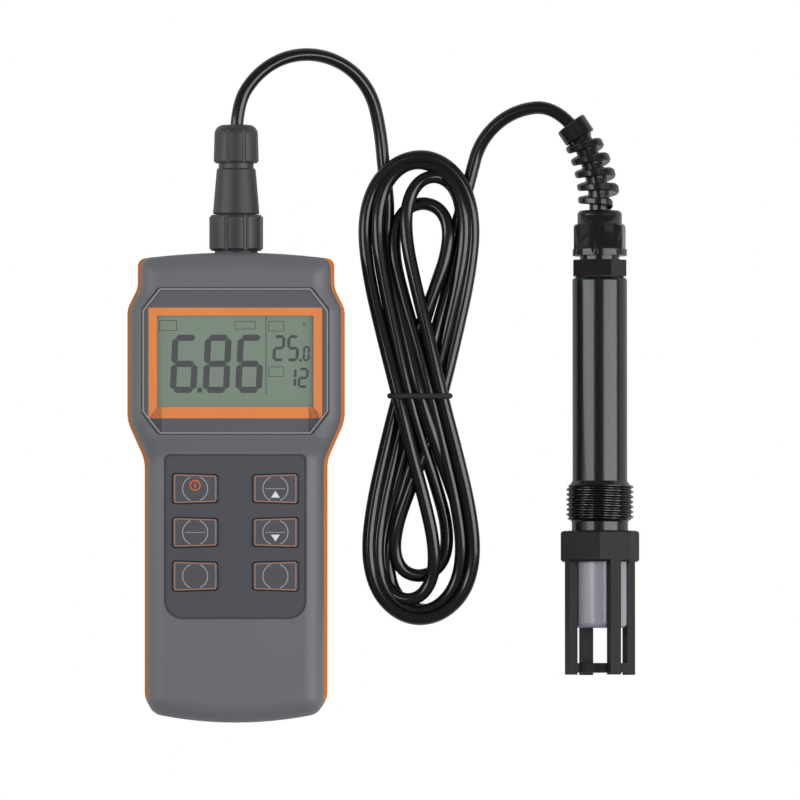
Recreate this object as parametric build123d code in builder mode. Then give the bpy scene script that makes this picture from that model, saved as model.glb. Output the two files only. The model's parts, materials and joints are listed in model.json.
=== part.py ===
# Handheld water meter, its screwed cable plug, a tied cable and the dipping probe.
# Units are millimetres. The meter lies on its back on z = 0 with its face up (+Z),
# its plug points to +Y and the probe lies to its right (+X).

import os
from math import atan2, cos, degrees, hypot, pi, radians, sin, tan

from build123d import *

os.makedirs("parts", exist_ok=True)

# Case outline, seen from the front
case_length = 169.0
head_width = 78.3
grip_width = 65.8
top_width = 70.8
top_rise = 2.2
bottom_rise = 3.6
flare_high_y = 71.9
flare_low_y = 64.3
taper_high_y = 23.9
taper_low_y = 9.9
flare_radius = 8.0
taper_radius = 14.0
band_corner = 3.0
case_head_corner = 4.0
case_foot_corner = 6.0
band_foot_corner = 9.0

# Case depth and walls
case_depth = 43.4
window_proud = 0.5
grip_drop = 1.9
step_high_y = 18.6
step_low_y = 12.6
step_radius = 6.0
wall = 2.5
shoulder = 7.0
back_edge = 5.0
band_low_z = 18.0
band_height = 8.0
band_proud = 1.3

# Window and display
window_width = 67.2
window_height = 52.8
window_centre_y = 45.5
window_corner_x = 6.1
window_corner_y = 7.8
window_thickness = 1.6
bezel_thickness = 0.5
frame_width = 62.4
frame_height = 39.8
view_width = 56.2
view_height = 32.8
view_centre_y = 45.4
frame_centre_y = 44.8
glass_width = 61.6
glass_height = 38.0
glass_thickness = 2.2
light_thickness = 2.1
holder_wall = 2.0
seat_gap = 0.15

# Keypad
panel_width = 50.8
panel_height = 59.0
panel_centre_y = -17.5
panel_thickness = 1.3
panel_recess = 1.6
panel_head_corner = 2.0
panel_foot_corner = 6.5
key_width = 16.0
key_height = 10.8
key_corner = 1.2
key_slope = 0.5
key_pitch_x = 28.8
key_pitch_y = 15.7
key_rows_y = -16.0
key_proud = 0.8
key_gap = 0.3
key_lip = 0.9
key_lip_thickness = 1.0
key_travel = 0.5
mat_thickness = 1.2
contact_radius = 3.6
contact_thickness = 0.3

# Circuit board
board_thickness = 1.6
board_top_z = 33.2
board_width = 52.0
board_high_y = 72.5
board_low_y = -60.0
board_screw_x = 17.0
board_screw_y = 3.2

# Screws and their bosses
boss_radius = 3.2
screw_radius = 1.25
screw_head_radius = 2.6
screw_head_height = 2.0
head_boss_x = 27.4
head_boss_y = 72.0
foot_boss_x = 24.0
foot_boss_y = -74.6
boss_split_z = 22.0

# Battery bay in the rear shell
cell_radius = 5.15
cell_length = 44.5
cell_pitch = 10.9
cell_count = 4
bay_high_y = -17.0
bay_spring_room = 3.4
tray_wall = 1.4
cover_thickness = 2.2
cover_gap = 0.3
cover_tab = 5.4
cover_screw_x = 18.0

# Socket in the top of the case and the plug on it
socket_z = 22.0
socket_radius = 7.75
socket_bore = 6.0
socket_end_y = 94.4
socket_flange_radius = 10.0
socket_flange_thickness = 2.0
pin_count = 6
pin_radius = 0.6
pin_circle = 3.4
ring_radius = 9.7
ring_start_y = 85.3
ring_end_y = 98.3
ring_flutes = 8
ring_flute_radius = 1.2
plug_big_radius = 8.4
plug_small_radius = 7.05
plug_neck_radius = 6.3
nut_start_y = 116.9
plug_shoulder_y = 115.1
nut_radius = 8.15
nut_end_y = 130.8
nut_flutes = 8
nut_flute_radius = 1.0
running_gap = 0.1

# Cable
cable_radius = 2.35

# Probe, measured along its axis from the tips of the guard legs
probe_x = 131.4
probe_foot_y = -67.8
tube_radius = 9.9
tube_wall = 1.6
tube_start = 70.0
tube_end = 143.7
tube_edge = 1.2
spigot_radius = 9.0
thread_radius = 12.15
thread_start = 55.8
thread_end = 68.6
thread_cone = 1.4
neck_radius = 10.15
neck_start = 52.3
adapter_foot = 44.6
adapter_foot_radius = 10.2
guard_radius = 14.2
guard_start = 40.8
guard_end = 52.0
guard_bore = 10.4
guard_turn = 24.6
leg_count = 4
leg_width = 4.2
leg_outer = 13.1
leg_inner = 10.0
guard_ring_radius = 9.4
guard_ring_wall = 2.0
guard_ring_low = 0.8
guard_ring_high = 4.2
guard_spoke = 1.7
cap_radius = 9.65
cap_wall = 1.2
cap_start = 17.0
cap_end = 44.0
cap_edge = 1.6
cap_travel = 8.0
head_radius = 8.35
head_start = 36.0
bulb_radius = 3.6
bulb_low = 24.8
stem_radius = 2.6

# Cable gland on top of the probe
flange_radius = 10.35
flange_start = 144.2
flange_end = 150.0
gland_thread_radius = 7.15
hex_start = 151.6
hex_end = 162.9
hex_radius = 10.15
hex_turn = 21.0
hex_chamfer = 0.9
dome_end = 168.0
dome_radius = 8.05
tail_bend_radius = 52.6
tail_bend = 37.0
tail_turns = 5
tail_first = 3.9
tail_pitch = 5.35
tail_big_radius = 7.8
tail_small_radius = 6.5
tail_bar = 2.9
tail_bore = 2.9
tail_lean = 10.0
tail_ring_radius = 5.8
tail_ring_length = 6.4

# Cable hank: centre of its tie, and the lobes above and below it
hank_x = 66.3
hank_y = 33.0
hank_height = 13.6
tie_radius = 1.0

# Values that follow from the ones above
half_length = case_length / 2
front_head_z = case_depth - window_proud
front_grip_z = front_head_z - grip_drop
band_high_z = band_low_z + band_height


def case_plan(side, end, foot_corner, top_corner):
    """Outline of the case, `side` inside its widest line and `end` inside its ends."""
    y_top = half_length - end
    y_low = end - half_length
    right = [
        (top_width / 2 - side, y_top - top_rise),
        (top_width / 2 - side, flare_high_y),
        (head_width / 2 - side, flare_low_y),
        (head_width / 2 - side, taper_high_y),
        (grip_width / 2 - side, taper_low_y),
        (grip_width / 2 - side, y_low + bottom_rise),
    ]
    left = [(-x, y) for x, y in reversed(right)]
    with BuildSketch() as plan:
        with BuildLine():
            Polyline(*right)
            ThreePointArc(right[-1], (0, y_low), left[0])
            Polyline(*left)
            ThreePointArc(left[-1], (0, y_top), right[0])
        make_face()
        fillet(plan.vertices().group_by(Axis.Y)[0], foot_corner)
        fillet(plan.vertices().filter_by_position(Axis.Y, taper_low_y - 1, taper_high_y + 1), taper_radius)
        fillet(plan.vertices().filter_by_position(Axis.Y, flare_low_y - 1, flare_high_y + 1), flare_radius)
        fillet(plan.vertices().filter_by_position(Axis.Y, y_top - top_rise - 0.1, y_top), top_corner)
    return plan.sketch


def front_form(inset):
    """The front half of the case as a solid block, `inset` inside its surface."""
    head_z = front_head_z - inset
    grip_z = front_grip_z - inset
    with BuildPart() as block:
        with BuildSketch(Plane.XY.offset(band_high_z)):
            add(case_plan(band_proud + inset, inset, case_foot_corner - inset, case_head_corner - inset))
        extrude(amount=head_z - band_high_z)
        with BuildSketch(Plane.YZ) as step:
            with BuildLine():
                Polyline((-case_length, grip_z), (step_low_y, grip_z), (step_high_y, head_z),
                         (case_length, head_z), (case_length, case_depth * 2),
                         (-case_length, case_depth * 2), close=True)
            make_face()
            fillet(step.vertices().filter_by_position(Axis.X, step_low_y - 1, step_high_y + 1), step_radius)
        extrude(amount=head_width, both=True, mode=Mode.SUBTRACT)
        high = block.edges().filter_by(lambda e: min(v.Z for v in e.vertices()) > grip_z - 0.5)
        across = high.filter_by(lambda e: abs(e.tangent_at(0.5).X) > 0.9 and abs(e.center().Y) < half_length / 2)
        fillet([e for e in high if e not in across], shoulder - inset)
    return block.part


def rear_form(inset):
    """The rear half of the case as a solid block, `inset` inside its surface."""
    with BuildPart() as block:
        with BuildSketch(Plane.XY.offset(inset)):
            add(case_plan(band_proud + inset, inset, case_foot_corner - inset, case_head_corner - inset))
        extrude(amount=band_low_z - inset)
        fillet(block.edges().group_by(Axis.Z)[0], back_edge - inset)
    return block.part


def section(plane, *points):
    """A closed outline of straight lines on a plane."""
    with BuildSketch(plane) as face:
        with BuildLine():
            Polyline(*points, close=True)
        make_face()
    return face.sketch


def cut_corner_window(width, height, corner_x, corner_y, corner_radius):
    """A rectangle with its four corners cut off and the cuts rounded."""
    x = width / 2
    y = height / 2
    with BuildSketch() as face:
        with BuildLine():
            Polyline((x, y - corner_y), (x - corner_x, y), (corner_x - x, y), (-x, y - corner_y),
                     (-x, corner_y - y), (corner_x - x, -y), (x - corner_x, -y), (x, corner_y - y),
                     close=True)
        make_face()
        fillet(face.vertices(), corner_radius)
    return face.sketch


def key_shape(grow, side):
    """A key's outline: its outer edge is a little taller than its inner one."""
    x = key_width / 2 + grow
    y = key_height / 2 + grow
    with BuildSketch() as face:
        with BuildLine():
            Polyline((side * x, y), (-side * x, y - key_slope), (-side * x, key_slope - y), (side * x, -y),
                     close=True)
        make_face()
        fillet(face.vertices(), key_corner)
    return face.sketch


def panel_shape(grow):
    """The keypad panel's outline, with small corners above and large ones below."""
    with BuildSketch() as face:
        Rectangle(panel_width + 2 * grow, panel_height + 2 * grow)
        rows = face.vertices().group_by(Axis.Y)
        fillet(rows[0], panel_foot_corner + grow)
        fillet(face.vertices().group_by(Axis.Y)[-1], panel_head_corner + grow)
    return face.sketch


window_top_z = case_depth
window_low_z = window_top_z - window_thickness
bezel_low_z = window_low_z - bezel_thickness
panel_floor_z = front_grip_z - panel_recess
panel_top_z = panel_floor_z + panel_thickness
grip_roof_z = front_grip_z - wall
head_roof_z = front_head_z - wall
head_bosses = [(head_boss_x, head_boss_y), (-head_boss_x, head_boss_y)]
foot_bosses = [(foot_boss_x, foot_boss_y), (-foot_boss_x, foot_boss_y)]
boss_points = head_bosses + foot_bosses
head_board_screws = [(x, board_high_y - board_screw_y) for x in (board_screw_x, -board_screw_x)]
foot_board_screws = [(x, board_low_y + board_screw_y) for x in (board_screw_x, -board_screw_x)]
board_screw_points = head_board_screws + foot_board_screws
key_places = [(x, key_rows_y + row * key_pitch_y) for row in (1, 0, -1) for x in (-key_pitch_x / 2, key_pitch_x / 2)]
plug_section = Plane.XY.offset(socket_z)
plug_axis = Axis((0, 0, socket_z), (0, 1, 0))
case_hole = socket_radius + running_gap


def plug_cross(y):
    """The plane across the plug's axis at a height y."""
    return Plane(origin=(0, y, socket_z), x_dir=(1, 0, 0), z_dir=(0, 1, 0))


# Front shell with its window seat, keypad recess and bosses
socket_wall_y = half_length - wall
flange_high_y = socket_wall_y - 1.2
flange_low_y = flange_high_y - socket_flange_thickness
cradle_high_y = flange_low_y - 0.2
cradle_thickness = 2.0
cradle_half = 12.0

with BuildPart() as front_shell:
    add(front_form(0))
    add(front_form(wall), mode=Mode.SUBTRACT)
    with BuildSketch(Plane.XY.offset(bezel_low_z)):
        with Locations((0, window_centre_y)):
            add(cut_corner_window(window_width + 2 * seat_gap, window_height + 2 * seat_gap,
                                  window_corner_x, window_corner_y, 2.5))
    extrude(amount=case_depth, mode=Mode.SUBTRACT)
    with BuildSketch(Plane.XY.offset(band_high_z)):
        with Locations((0, view_centre_y)):
            Rectangle(view_width + 1, view_height + 1)
    extrude(amount=case_depth, mode=Mode.SUBTRACT)
    with BuildSketch(Plane.XY.offset(panel_floor_z)):
        with Locations((0, panel_centre_y)):
            add(panel_shape(seat_gap))
    extrude(amount=case_depth, mode=Mode.SUBTRACT)
    for place_x, place_y in key_places:
        with BuildSketch(Plane.XY.offset(band_high_z)):
            with Locations((place_x, place_y)):
                add(key_shape(key_gap, 1 if place_x > 0 else -1))
        extrude(amount=case_depth, mode=Mode.SUBTRACT)
    for points, roof_z in ((head_bosses, head_roof_z), (foot_bosses, grip_roof_z)):
        with BuildSketch(Plane.XY.offset(boss_split_z)):
            with Locations(*points):
                Circle(boss_radius)
        extrude(amount=roof_z + 0.5 - boss_split_z)
    for points, roof_z in ((head_board_screws, head_roof_z), (foot_board_screws, grip_roof_z)):
        with BuildSketch(Plane.XY.offset(board_top_z)):
            with Locations(*points):
                Circle(boss_radius - 0.7)
        extrude(amount=roof_z + 0.5 - board_top_z)
    with BuildSketch(Plane.XY.offset(socket_z + running_gap)):
        with Locations((0, cradle_high_y - cradle_thickness / 2)):
            Rectangle(2 * cradle_half, cradle_thickness)
    extrude(amount=head_roof_z + 0.5 - socket_z)
    with BuildSketch(plug_cross(half_length + 1)):
        Circle(case_hole)
    extrude(amount=-(half_length + 1 - cradle_high_y + 2 * cradle_thickness), mode=Mode.SUBTRACT)
    with BuildSketch(Plane.XY.offset(boss_split_z)):
        with Locations(*boss_points):
            Circle(screw_radius)
    extrude(amount=10, mode=Mode.SUBTRACT)
    with BuildSketch(Plane.XY.offset(board_top_z)):
        with Locations(*board_screw_points):
            Circle(screw_radius - 0.25)
    extrude(amount=4, mode=Mode.SUBTRACT)
front_shell.part.label = "front_shell"
export_step(front_shell.part, "parts/front_shell.step")

# Coloured band between the two shells
with BuildPart() as side_band:
    with BuildSketch(Plane.XY.offset(band_low_z)):
        add(case_plan(0, 0, band_foot_corner, band_corner))
        add(case_plan(band_proud + wall, wall, case_foot_corner - wall, case_head_corner - wall),
            mode=Mode.SUBTRACT)
    extrude(amount=band_height)
    with BuildSketch(plug_cross(half_length + 1)):
        Circle(case_hole)
    extrude(amount=-12, mode=Mode.SUBTRACT)
side_band.part.label = "side_band"
export_step(side_band.part, "parts/side_band.step")

# Rear shell with screw wells, the battery bay's mouth and the socket's lower cradle
bay_length = cell_length + bay_spring_room
bay_width = cell_pitch * cell_count + 0.8
bay_low_y = bay_high_y - bay_length
bay_centre_y = (bay_high_y + bay_low_y) / 2
cover_width = bay_width
cover_length = bay_length + 2 * cover_tab
head_well_z = screw_head_height + 1.0
cover_screw_points = [(x, y) for x in (-cover_screw_x, cover_screw_x)
                      for y in (bay_high_y + cover_tab / 2, bay_low_y - cover_tab / 2)]

with BuildPart() as rear_shell:
    add(rear_form(0))
    add(rear_form(wall), mode=Mode.SUBTRACT)
    with BuildSketch(Plane.XY.offset(wall - 0.5)):
        with Locations(*boss_points):
            Circle(boss_radius)
    extrude(amount=boss_split_z - running_gap - wall + 0.5)
    with BuildSketch(Plane.XY.offset(wall - 0.5)):
        with Locations((0, bay_centre_y)):
            Rectangle(cover_width + 5, cover_length + 5)
    extrude(amount=cover_thickness + 2.3 - wall + 0.5)
    with BuildSketch(Plane.XY.offset(wall - 0.5)):
        with Locations((0, cradle_high_y - cradle_thickness / 2)):
            Rectangle(2 * cradle_half, cradle_thickness)
    extrude(amount=socket_z - running_gap - wall + 0.5)
    with BuildSketch(plug_cross(half_length + 1)):
        Circle(case_hole)
    extrude(amount=-(half_length + 1 - cradle_high_y + 2 * cradle_thickness), mode=Mode.SUBTRACT)
    with BuildSketch():
        with Locations((0, bay_centre_y)):
            Rectangle(cover_width + 2 * cover_gap, cover_length + 2 * cover_gap)
    extrude(amount=cover_thickness + 0.1, mode=Mode.SUBTRACT)
    with BuildSketch():
        with Locations((0, bay_centre_y)):
            Rectangle(bay_width, bay_length)
    extrude(amount=wall * 3, mode=Mode.SUBTRACT)
    with BuildSketch():
        with Locations(*boss_points):
            Circle(screw_head_radius + 0.3)
    extrude(amount=head_well_z, mode=Mode.SUBTRACT)
    with BuildSketch():
        with Locations(*boss_points):
            Circle(screw_radius + 0.2)
        with Locations(*cover_screw_points):
            Circle(screw_radius - 0.1)
    extrude(amount=boss_split_z, mode=Mode.SUBTRACT)
rear_shell.part.label = "rear_shell"
export_step(rear_shell.part, "parts/rear_shell.step")

# Screws from the back into the front shell's bosses
with BuildPart() as shell_screws:
    with BuildSketch(Plane.XY.offset(head_well_z - screw_head_height)):
        with Locations(*boss_points):
            Circle(screw_head_radius)
    extrude(amount=screw_head_height)
    with BuildSketch(Plane.XY.offset(head_well_z)):
        with Locations(*boss_points):
            Circle(screw_radius - 0.05)
    extrude(amount=boss_split_z + 8 - head_well_z)
    with BuildSketch(Plane.XY.offset(head_well_z - screw_head_height)):
        with Locations(*boss_points):
            Rectangle(2.6, 0.6)
            Rectangle(0.6, 2.6)
    extrude(amount=0.9, mode=Mode.SUBTRACT)
shell_screws.part.label = "shell_screws"
export_step(shell_screws.part, "parts/shell_screws.step")

# Display window and what lies under it
with BuildPart() as display_window:
    with BuildSketch(Plane.XY.offset(window_low_z)):
        with Locations((0, window_centre_y)):
            add(cut_corner_window(window_width, window_height, window_corner_x, window_corner_y, 2.5))
    extrude(amount=window_thickness)
    chamfer(display_window.edges().group_by(Axis.Z)[-1], 0.35)
display_window.part.label = "display_window"
export_step(display_window.part, "parts/display_window.step")

with BuildPart() as window_bezel:
    with BuildSketch(Plane.XY.offset(bezel_low_z)):
        with Locations((0, window_centre_y)):
            add(cut_corner_window(window_width, window_height, window_corner_x, window_corner_y, 2.5))
        with Locations((0, frame_centre_y)):
            Rectangle(frame_width, frame_height, mode=Mode.SUBTRACT)
    extrude(amount=bezel_thickness)
window_bezel.part.label = "window_bezel"
export_step(window_bezel.part, "parts/window_bezel.step")

with BuildPart() as display_frame:
    with BuildSketch(Plane.XY.offset(bezel_low_z)):
        with Locations((0, frame_centre_y)):
            Rectangle(frame_width - 0.1, frame_height - 0.1)
        with Locations((0, view_centre_y)):
            Rectangle(view_width, view_height, mode=Mode.SUBTRACT)
    extrude(amount=bezel_thickness)
display_frame.part.label = "display_frame"
export_step(display_frame.part, "parts/display_frame.step")

glass_top_z = head_roof_z
glass_low_z = glass_top_z - glass_thickness
light_low_z = glass_low_z - light_thickness
zebra_width = 2.4
zebra_offset = glass_height / 2 - zebra_width / 2 - 0.4

with BuildPart() as lcd_panel:
    with BuildSketch(Plane.XY.offset(glass_low_z)):
        with Locations((0, view_centre_y)):
            Rectangle(glass_width, glass_height)
    extrude(amount=glass_thickness)
lcd_panel.part.label = "lcd_panel"
export_step(lcd_panel.part, "parts/lcd_panel.step")

light_height = glass_height - 2 * (zebra_width + 1.4)
with BuildPart() as backlight:
    with BuildSketch(Plane.XY.offset(light_low_z)):
        with Locations((0, view_centre_y)):
            Rectangle(glass_width - 2, light_height)
    extrude(amount=light_thickness)
backlight.part.label = "backlight"
export_step(backlight.part, "parts/backlight.step")

with BuildPart() as lcd_holder:
    with BuildSketch(Plane.XY.offset(board_top_z)):
        with Locations((0, view_centre_y)):
            Rectangle(glass_width + 2 * holder_wall, glass_height + 2 * holder_wall)
    extrude(amount=glass_top_z - board_top_z - 0.1)
    chamfer(lcd_holder.edges().group_by(Axis.Z)[-1], 1.4)
    with BuildSketch(Plane.XY.offset(glass_low_z)):
        with Locations((0, view_centre_y)):
            Rectangle(glass_width + 0.4, glass_height + 0.4)
    extrude(amount=glass_thickness + 1, mode=Mode.SUBTRACT)
    with BuildSketch(Plane.XY.offset(light_low_z)):
        with Locations((0, view_centre_y)):
            Rectangle(glass_width - 1.8, light_height + 0.2)
    extrude(amount=light_thickness, mode=Mode.SUBTRACT)
    with BuildSketch(Plane.XY.offset(board_top_z)):
        with Locations((0, view_centre_y + zebra_offset), (0, view_centre_y - zebra_offset)):
            Rectangle(glass_width - 3.6, zebra_width + 0.2)
    extrude(amount=glass_top_z - board_top_z, mode=Mode.SUBTRACT)
lcd_holder.part.label = "lcd_holder"
export_step(lcd_holder.part, "parts/lcd_holder.step")

with BuildPart() as lcd_connectors:
    with BuildSketch(Plane.XY.offset(board_top_z)):
        with Locations((0, view_centre_y + zebra_offset), (0, view_centre_y - zebra_offset)):
            Rectangle(glass_width - 4, zebra_width)
    extrude(amount=glass_low_z - board_top_z)
lcd_connectors.part.label = "lcd_connectors"
export_step(lcd_connectors.part, "parts/lcd_connectors.step")

# Main board, held under the front shell's small bosses
board_low_z = board_top_z - board_thickness
with BuildPart() as main_board:
    with BuildSketch(Plane.XY.offset(board_low_z)) as board_plan:
        with Locations((0, (board_high_y + board_low_y) / 2)):
            Rectangle(board_width, board_high_y - board_low_y)
        fillet(board_plan.vertices(), 1.5)
        with Locations(*board_screw_points):
            Circle(screw_radius, mode=Mode.SUBTRACT)
        with Locations(*boss_points):
            Circle(boss_radius + 0.5, mode=Mode.SUBTRACT)
    extrude(amount=board_thickness)
main_board.part.label = "main_board"
export_step(main_board.part, "parts/main_board.step")

with BuildPart() as board_screws:
    with BuildSketch(Plane.XY.offset(board_low_z - 1.4)):
        with Locations(*board_screw_points):
            Circle(2.0)
    extrude(amount=1.4)
    with BuildSketch(Plane.XY.offset(board_low_z)):
        with Locations(*board_screw_points):
            Circle(screw_radius - 0.3)
    extrude(amount=board_thickness + 3)
board_screws.part.label = "board_screws"
export_step(board_screws.part, "parts/board_screws.step")

with BuildPart() as board_components:
    with BuildSketch(Plane.XY.offset(board_low_z - 2.0)):
        with Locations((-9, 34), (9, 34)):
            Rectangle(12, 12)
        with Locations((-14, 12), (0, 12), (14, 12)):
            Rectangle(7, 5)
        with Locations((0, 58)):
            Rectangle(14, 5)
    extrude(amount=2.0)
    with BuildSketch(Plane.XY.offset(board_low_z - 7)):
        with Locations((-18, -8), (-18, -20)):
            Circle(3.2)
    extrude(amount=7)
board_components.part.label = "board_components"
export_step(board_components.part, "parts/board_components.step")

with BuildPart() as buzzer:
    with BuildSketch(Plane.XY.offset(board_low_z - 5)):
        with Locations((15, -12)):
            Circle(6)
    extrude(amount=5)
    with BuildSketch(Plane.XY.offset(board_low_z - 5)):
        with Locations((15, -12)):
            Circle(1.2)
    extrude(amount=1.5, mode=Mode.SUBTRACT)
buzzer.part.label = "buzzer"
export_step(buzzer.part, "parts/buzzer.step")

# Keypad panel, keys, rubber mat and dome contacts
with BuildPart() as keypad_panel:
    with BuildSketch(Plane.XY.offset(panel_floor_z)):
        with Locations((0, panel_centre_y)):
            add(panel_shape(0))
        for place_x, place_y in key_places:
            with Locations((place_x, place_y)):
                add(key_shape(key_gap, 1 if place_x > 0 else -1), mode=Mode.SUBTRACT)
    extrude(amount=panel_thickness)
keypad_panel.part.label = "keypad_panel"
export_step(keypad_panel.part, "parts/keypad_panel.step")

key_names = ["key_power", "key_up", "key_calibrate", "key_down", "key_mode", "key_enter"]
key_top_z = panel_top_z + key_proud
lip_high_z = grip_roof_z - 0.2
lip_low_z = lip_high_z - key_lip_thickness
for name, (place_x, place_y) in zip(key_names, key_places):
    side = 1 if place_x > 0 else -1
    with BuildPart() as key:
        with BuildSketch(Plane.XY.offset(lip_low_z)):
            with Locations((place_x, place_y)):
                add(key_shape(0, side))
        extrude(amount=key_top_z - lip_low_z)
        fillet(key.edges().group_by(Axis.Z)[-1], 0.4)
        with BuildSketch(Plane.XY.offset(lip_low_z)):
            with Locations((place_x, place_y)):
                add(key_shape(key_gap + key_lip, side))
        extrude(amount=key_lip_thickness)
    key.part.label = name
    export_step(key.part, f"parts/{name}.step")

mat_top_z = board_top_z + mat_thickness
dome_top_z = lip_low_z - key_travel - 0.1
mat_width = key_pitch_x + key_width + 4
mat_height = 2 * key_pitch_y + key_height + 4
with BuildPart() as key_mat:
    with BuildSketch(Plane.XY.offset(board_top_z)):
        with Locations((0, key_rows_y)):
            Rectangle(mat_width, mat_height)
    extrude(amount=mat_thickness)
    with BuildSketch(Plane.XY.offset(mat_top_z)):
        with Locations(*key_places):
            Circle(contact_radius + 1.2)
    extrude(amount=dome_top_z - mat_top_z, taper=12)
    with BuildSketch(Plane.XY.offset(board_top_z)):
        with Locations(*key_places):
            Circle(contact_radius + 0.3)
    extrude(amount=0.8, mode=Mode.SUBTRACT)
key_mat.part.label = "key_mat"
export_step(key_mat.part, "parts/key_mat.step")

with BuildPart() as key_contacts:
    with BuildSketch(Plane.XY.offset(board_top_z)):
        with Locations(*key_places):
            Circle(contact_radius)
    extrude(amount=contact_thickness)
key_contacts.part.label = "key_contacts"
export_step(key_contacts.part, "parts/key_contacts.step")

# Battery tray, cells, contacts and cover
tray_low_z = cover_thickness + 2.3
tray_top_z = tray_low_z + 2 * cell_radius + tray_wall - 1.2
cell_axis_z = tray_low_z + cell_radius - 1.2
with BuildPart() as battery_tray:
    with BuildSketch(Plane.XY.offset(tray_low_z)):
        with Locations((0, bay_centre_y)):
            Rectangle(bay_width + 2 * tray_wall, bay_length + 2 * tray_wall)
    extrude(amount=tray_top_z - tray_low_z)
    with BuildSketch(Plane.XY.offset(tray_low_z)):
        with Locations((0, bay_centre_y)):
            Rectangle(bay_width, bay_length)
    extrude(amount=tray_top_z - tray_low_z - tray_wall, mode=Mode.SUBTRACT)
battery_tray.part.label = "battery_tray"
export_step(battery_tray.part, "parts/battery_tray.step")

cell_places = [cell_pitch * (i - (cell_count - 1) / 2) for i in range(cell_count)]
leaf_thickness = 0.3
cell_shift = (bay_spring_room - 0.9) / 2 - 0.35
with BuildPart() as batteries:
    for i, cell_x in enumerate(cell_places):
        flip = 1 if i % 2 else -1
        end_y = bay_centre_y - flip * (cell_length / 2 - cell_shift)
        with BuildSketch(Plane(origin=(cell_x, end_y, cell_axis_z), x_dir=(1, 0, 0), z_dir=(0, flip, 0))):
            Circle(cell_radius)
        extrude(amount=cell_length - 0.9)
        tip_y = end_y + flip * (cell_length - 0.9)
        with BuildSketch(Plane(origin=(cell_x, tip_y, cell_axis_z), x_dir=(1, 0, 0), z_dir=(0, flip, 0))):
            Circle(1.9)
        extrude(amount=0.9)
batteries.part.label = "batteries"
export_step(batteries.part, "parts/batteries.step")

with BuildPart() as battery_contacts:
    for i, cell_x in enumerate(cell_places):
        flip = 1 if i % 2 else -1
        wall_y = bay_centre_y + flip * (bay_length / 2 - leaf_thickness / 2)
        with BuildSketch(Plane.XY.offset(tray_low_z + 0.4)):
            with Locations((cell_x, wall_y)):
                Rectangle(cell_pitch - 2.5, leaf_thickness)
        extrude(amount=2 * cell_radius - 2.2)
battery_contacts.part.label = "battery_contacts"
export_step(battery_contacts.part, "parts/battery_contacts.step")

with BuildPart() as battery_springs:
    for i, cell_x in enumerate(cell_places):
        flip = 1 if i % 2 else -1
        wall_y = bay_centre_y - flip * bay_length / 2
        end_y = bay_centre_y - flip * (cell_length / 2 - cell_shift)
        gap = abs(end_y - wall_y) - 0.05
        with BuildSketch(Plane(origin=(cell_x, 0, 0), x_dir=(0, 1, 0), z_dir=(1, 0, 0))):
            with BuildLine():
                leaf = Polyline((wall_y + flip * 0.15, tray_low_z + 0.5),
                                (wall_y + flip * 0.15, tray_low_z + 2 * cell_radius - 2.5),
                                (wall_y + flip * (gap - 0.2), tray_low_z + cell_radius - 1.2),
                                (wall_y + flip * gap * 0.4, tray_low_z + 1.4))
                offset(leaf, amount=0.14, side=Side.BOTH)
            make_face()
        extrude(amount=2.6, both=True)
battery_springs.part.label = "battery_springs"
export_step(battery_springs.part, "parts/battery_springs.step")

with BuildPart() as battery_cover:
    with BuildSketch() as cover_plan:
        with Locations((0, bay_centre_y)):
            Rectangle(cover_width, cover_length)
        fillet(cover_plan.vertices(), 1.0)
    extrude(amount=cover_thickness)
    with BuildSketch(Plane.XY.offset(cover_thickness)):
        with GridLocations(cell_pitch, 1, cell_count - 1, 1):
            with Locations((0, bay_centre_y)):
                Rectangle(1.2, bay_length - 8)
    extrude(amount=1.0)
    with BuildSketch():
        with Locations(*cover_screw_points):
            Circle(screw_head_radius - 0.4)
    extrude(amount=1.3, mode=Mode.SUBTRACT)
    with BuildSketch():
        with Locations(*cover_screw_points):
            Circle(screw_radius)
    extrude(amount=cover_thickness, mode=Mode.SUBTRACT)
    with BuildSketch():
        with Locations((0, bay_low_y + 7)):
            with GridLocations(0, 1.6, 1, 5):
                Rectangle(16, 0.7)
    extrude(amount=0.5, mode=Mode.SUBTRACT)
battery_cover.part.label = "battery_cover"
export_step(battery_cover.part, "parts/battery_cover.step")

with BuildPart() as battery_cover_screws:
    with BuildSketch(Plane.XY.offset(0.3)):
        with Locations(*cover_screw_points):
            Circle(screw_head_radius - 0.6)
    extrude(amount=1.0)
    with BuildSketch(Plane.XY.offset(1.3)):
        with Locations(*cover_screw_points):
            Circle(screw_radius - 0.25)
    extrude(amount=cover_thickness + 0.9)
battery_cover_screws.part.label = "battery_cover_screws"
export_step(battery_cover_screws.part, "parts/battery_cover_screws.step")

# Socket through the case's top end, with its seal, insert and pins
socket_start_y = cradle_high_y - cradle_thickness
insert_end_y = half_length + 0.5
pin_start_y = socket_start_y - 2.6
pin_end_y = socket_end_y - 2.9
with BuildPart() as socket_shell:
    add(revolve(section(plug_section, (socket_bore, socket_start_y), (socket_radius, socket_start_y),
                        (socket_radius, flange_low_y), (socket_flange_radius, flange_low_y),
                        (socket_flange_radius, flange_high_y), (socket_radius, flange_high_y),
                        (socket_radius, socket_end_y - 0.6), (socket_radius - 0.6, socket_end_y),
                        (socket_bore, socket_end_y)), axis=plug_axis, mode=Mode.PRIVATE))
socket_shell.part.label = "socket_shell"
export_step(socket_shell.part, "parts/socket_shell.step")

with BuildPart() as socket_seal:
    with BuildSketch(plug_cross(flange_high_y)):
        Circle(socket_flange_radius)
        Circle(socket_radius + running_gap, mode=Mode.SUBTRACT)
    extrude(amount=0.9)
socket_seal.part.label = "socket_seal"
export_step(socket_seal.part, "parts/socket_seal.step")

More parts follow.
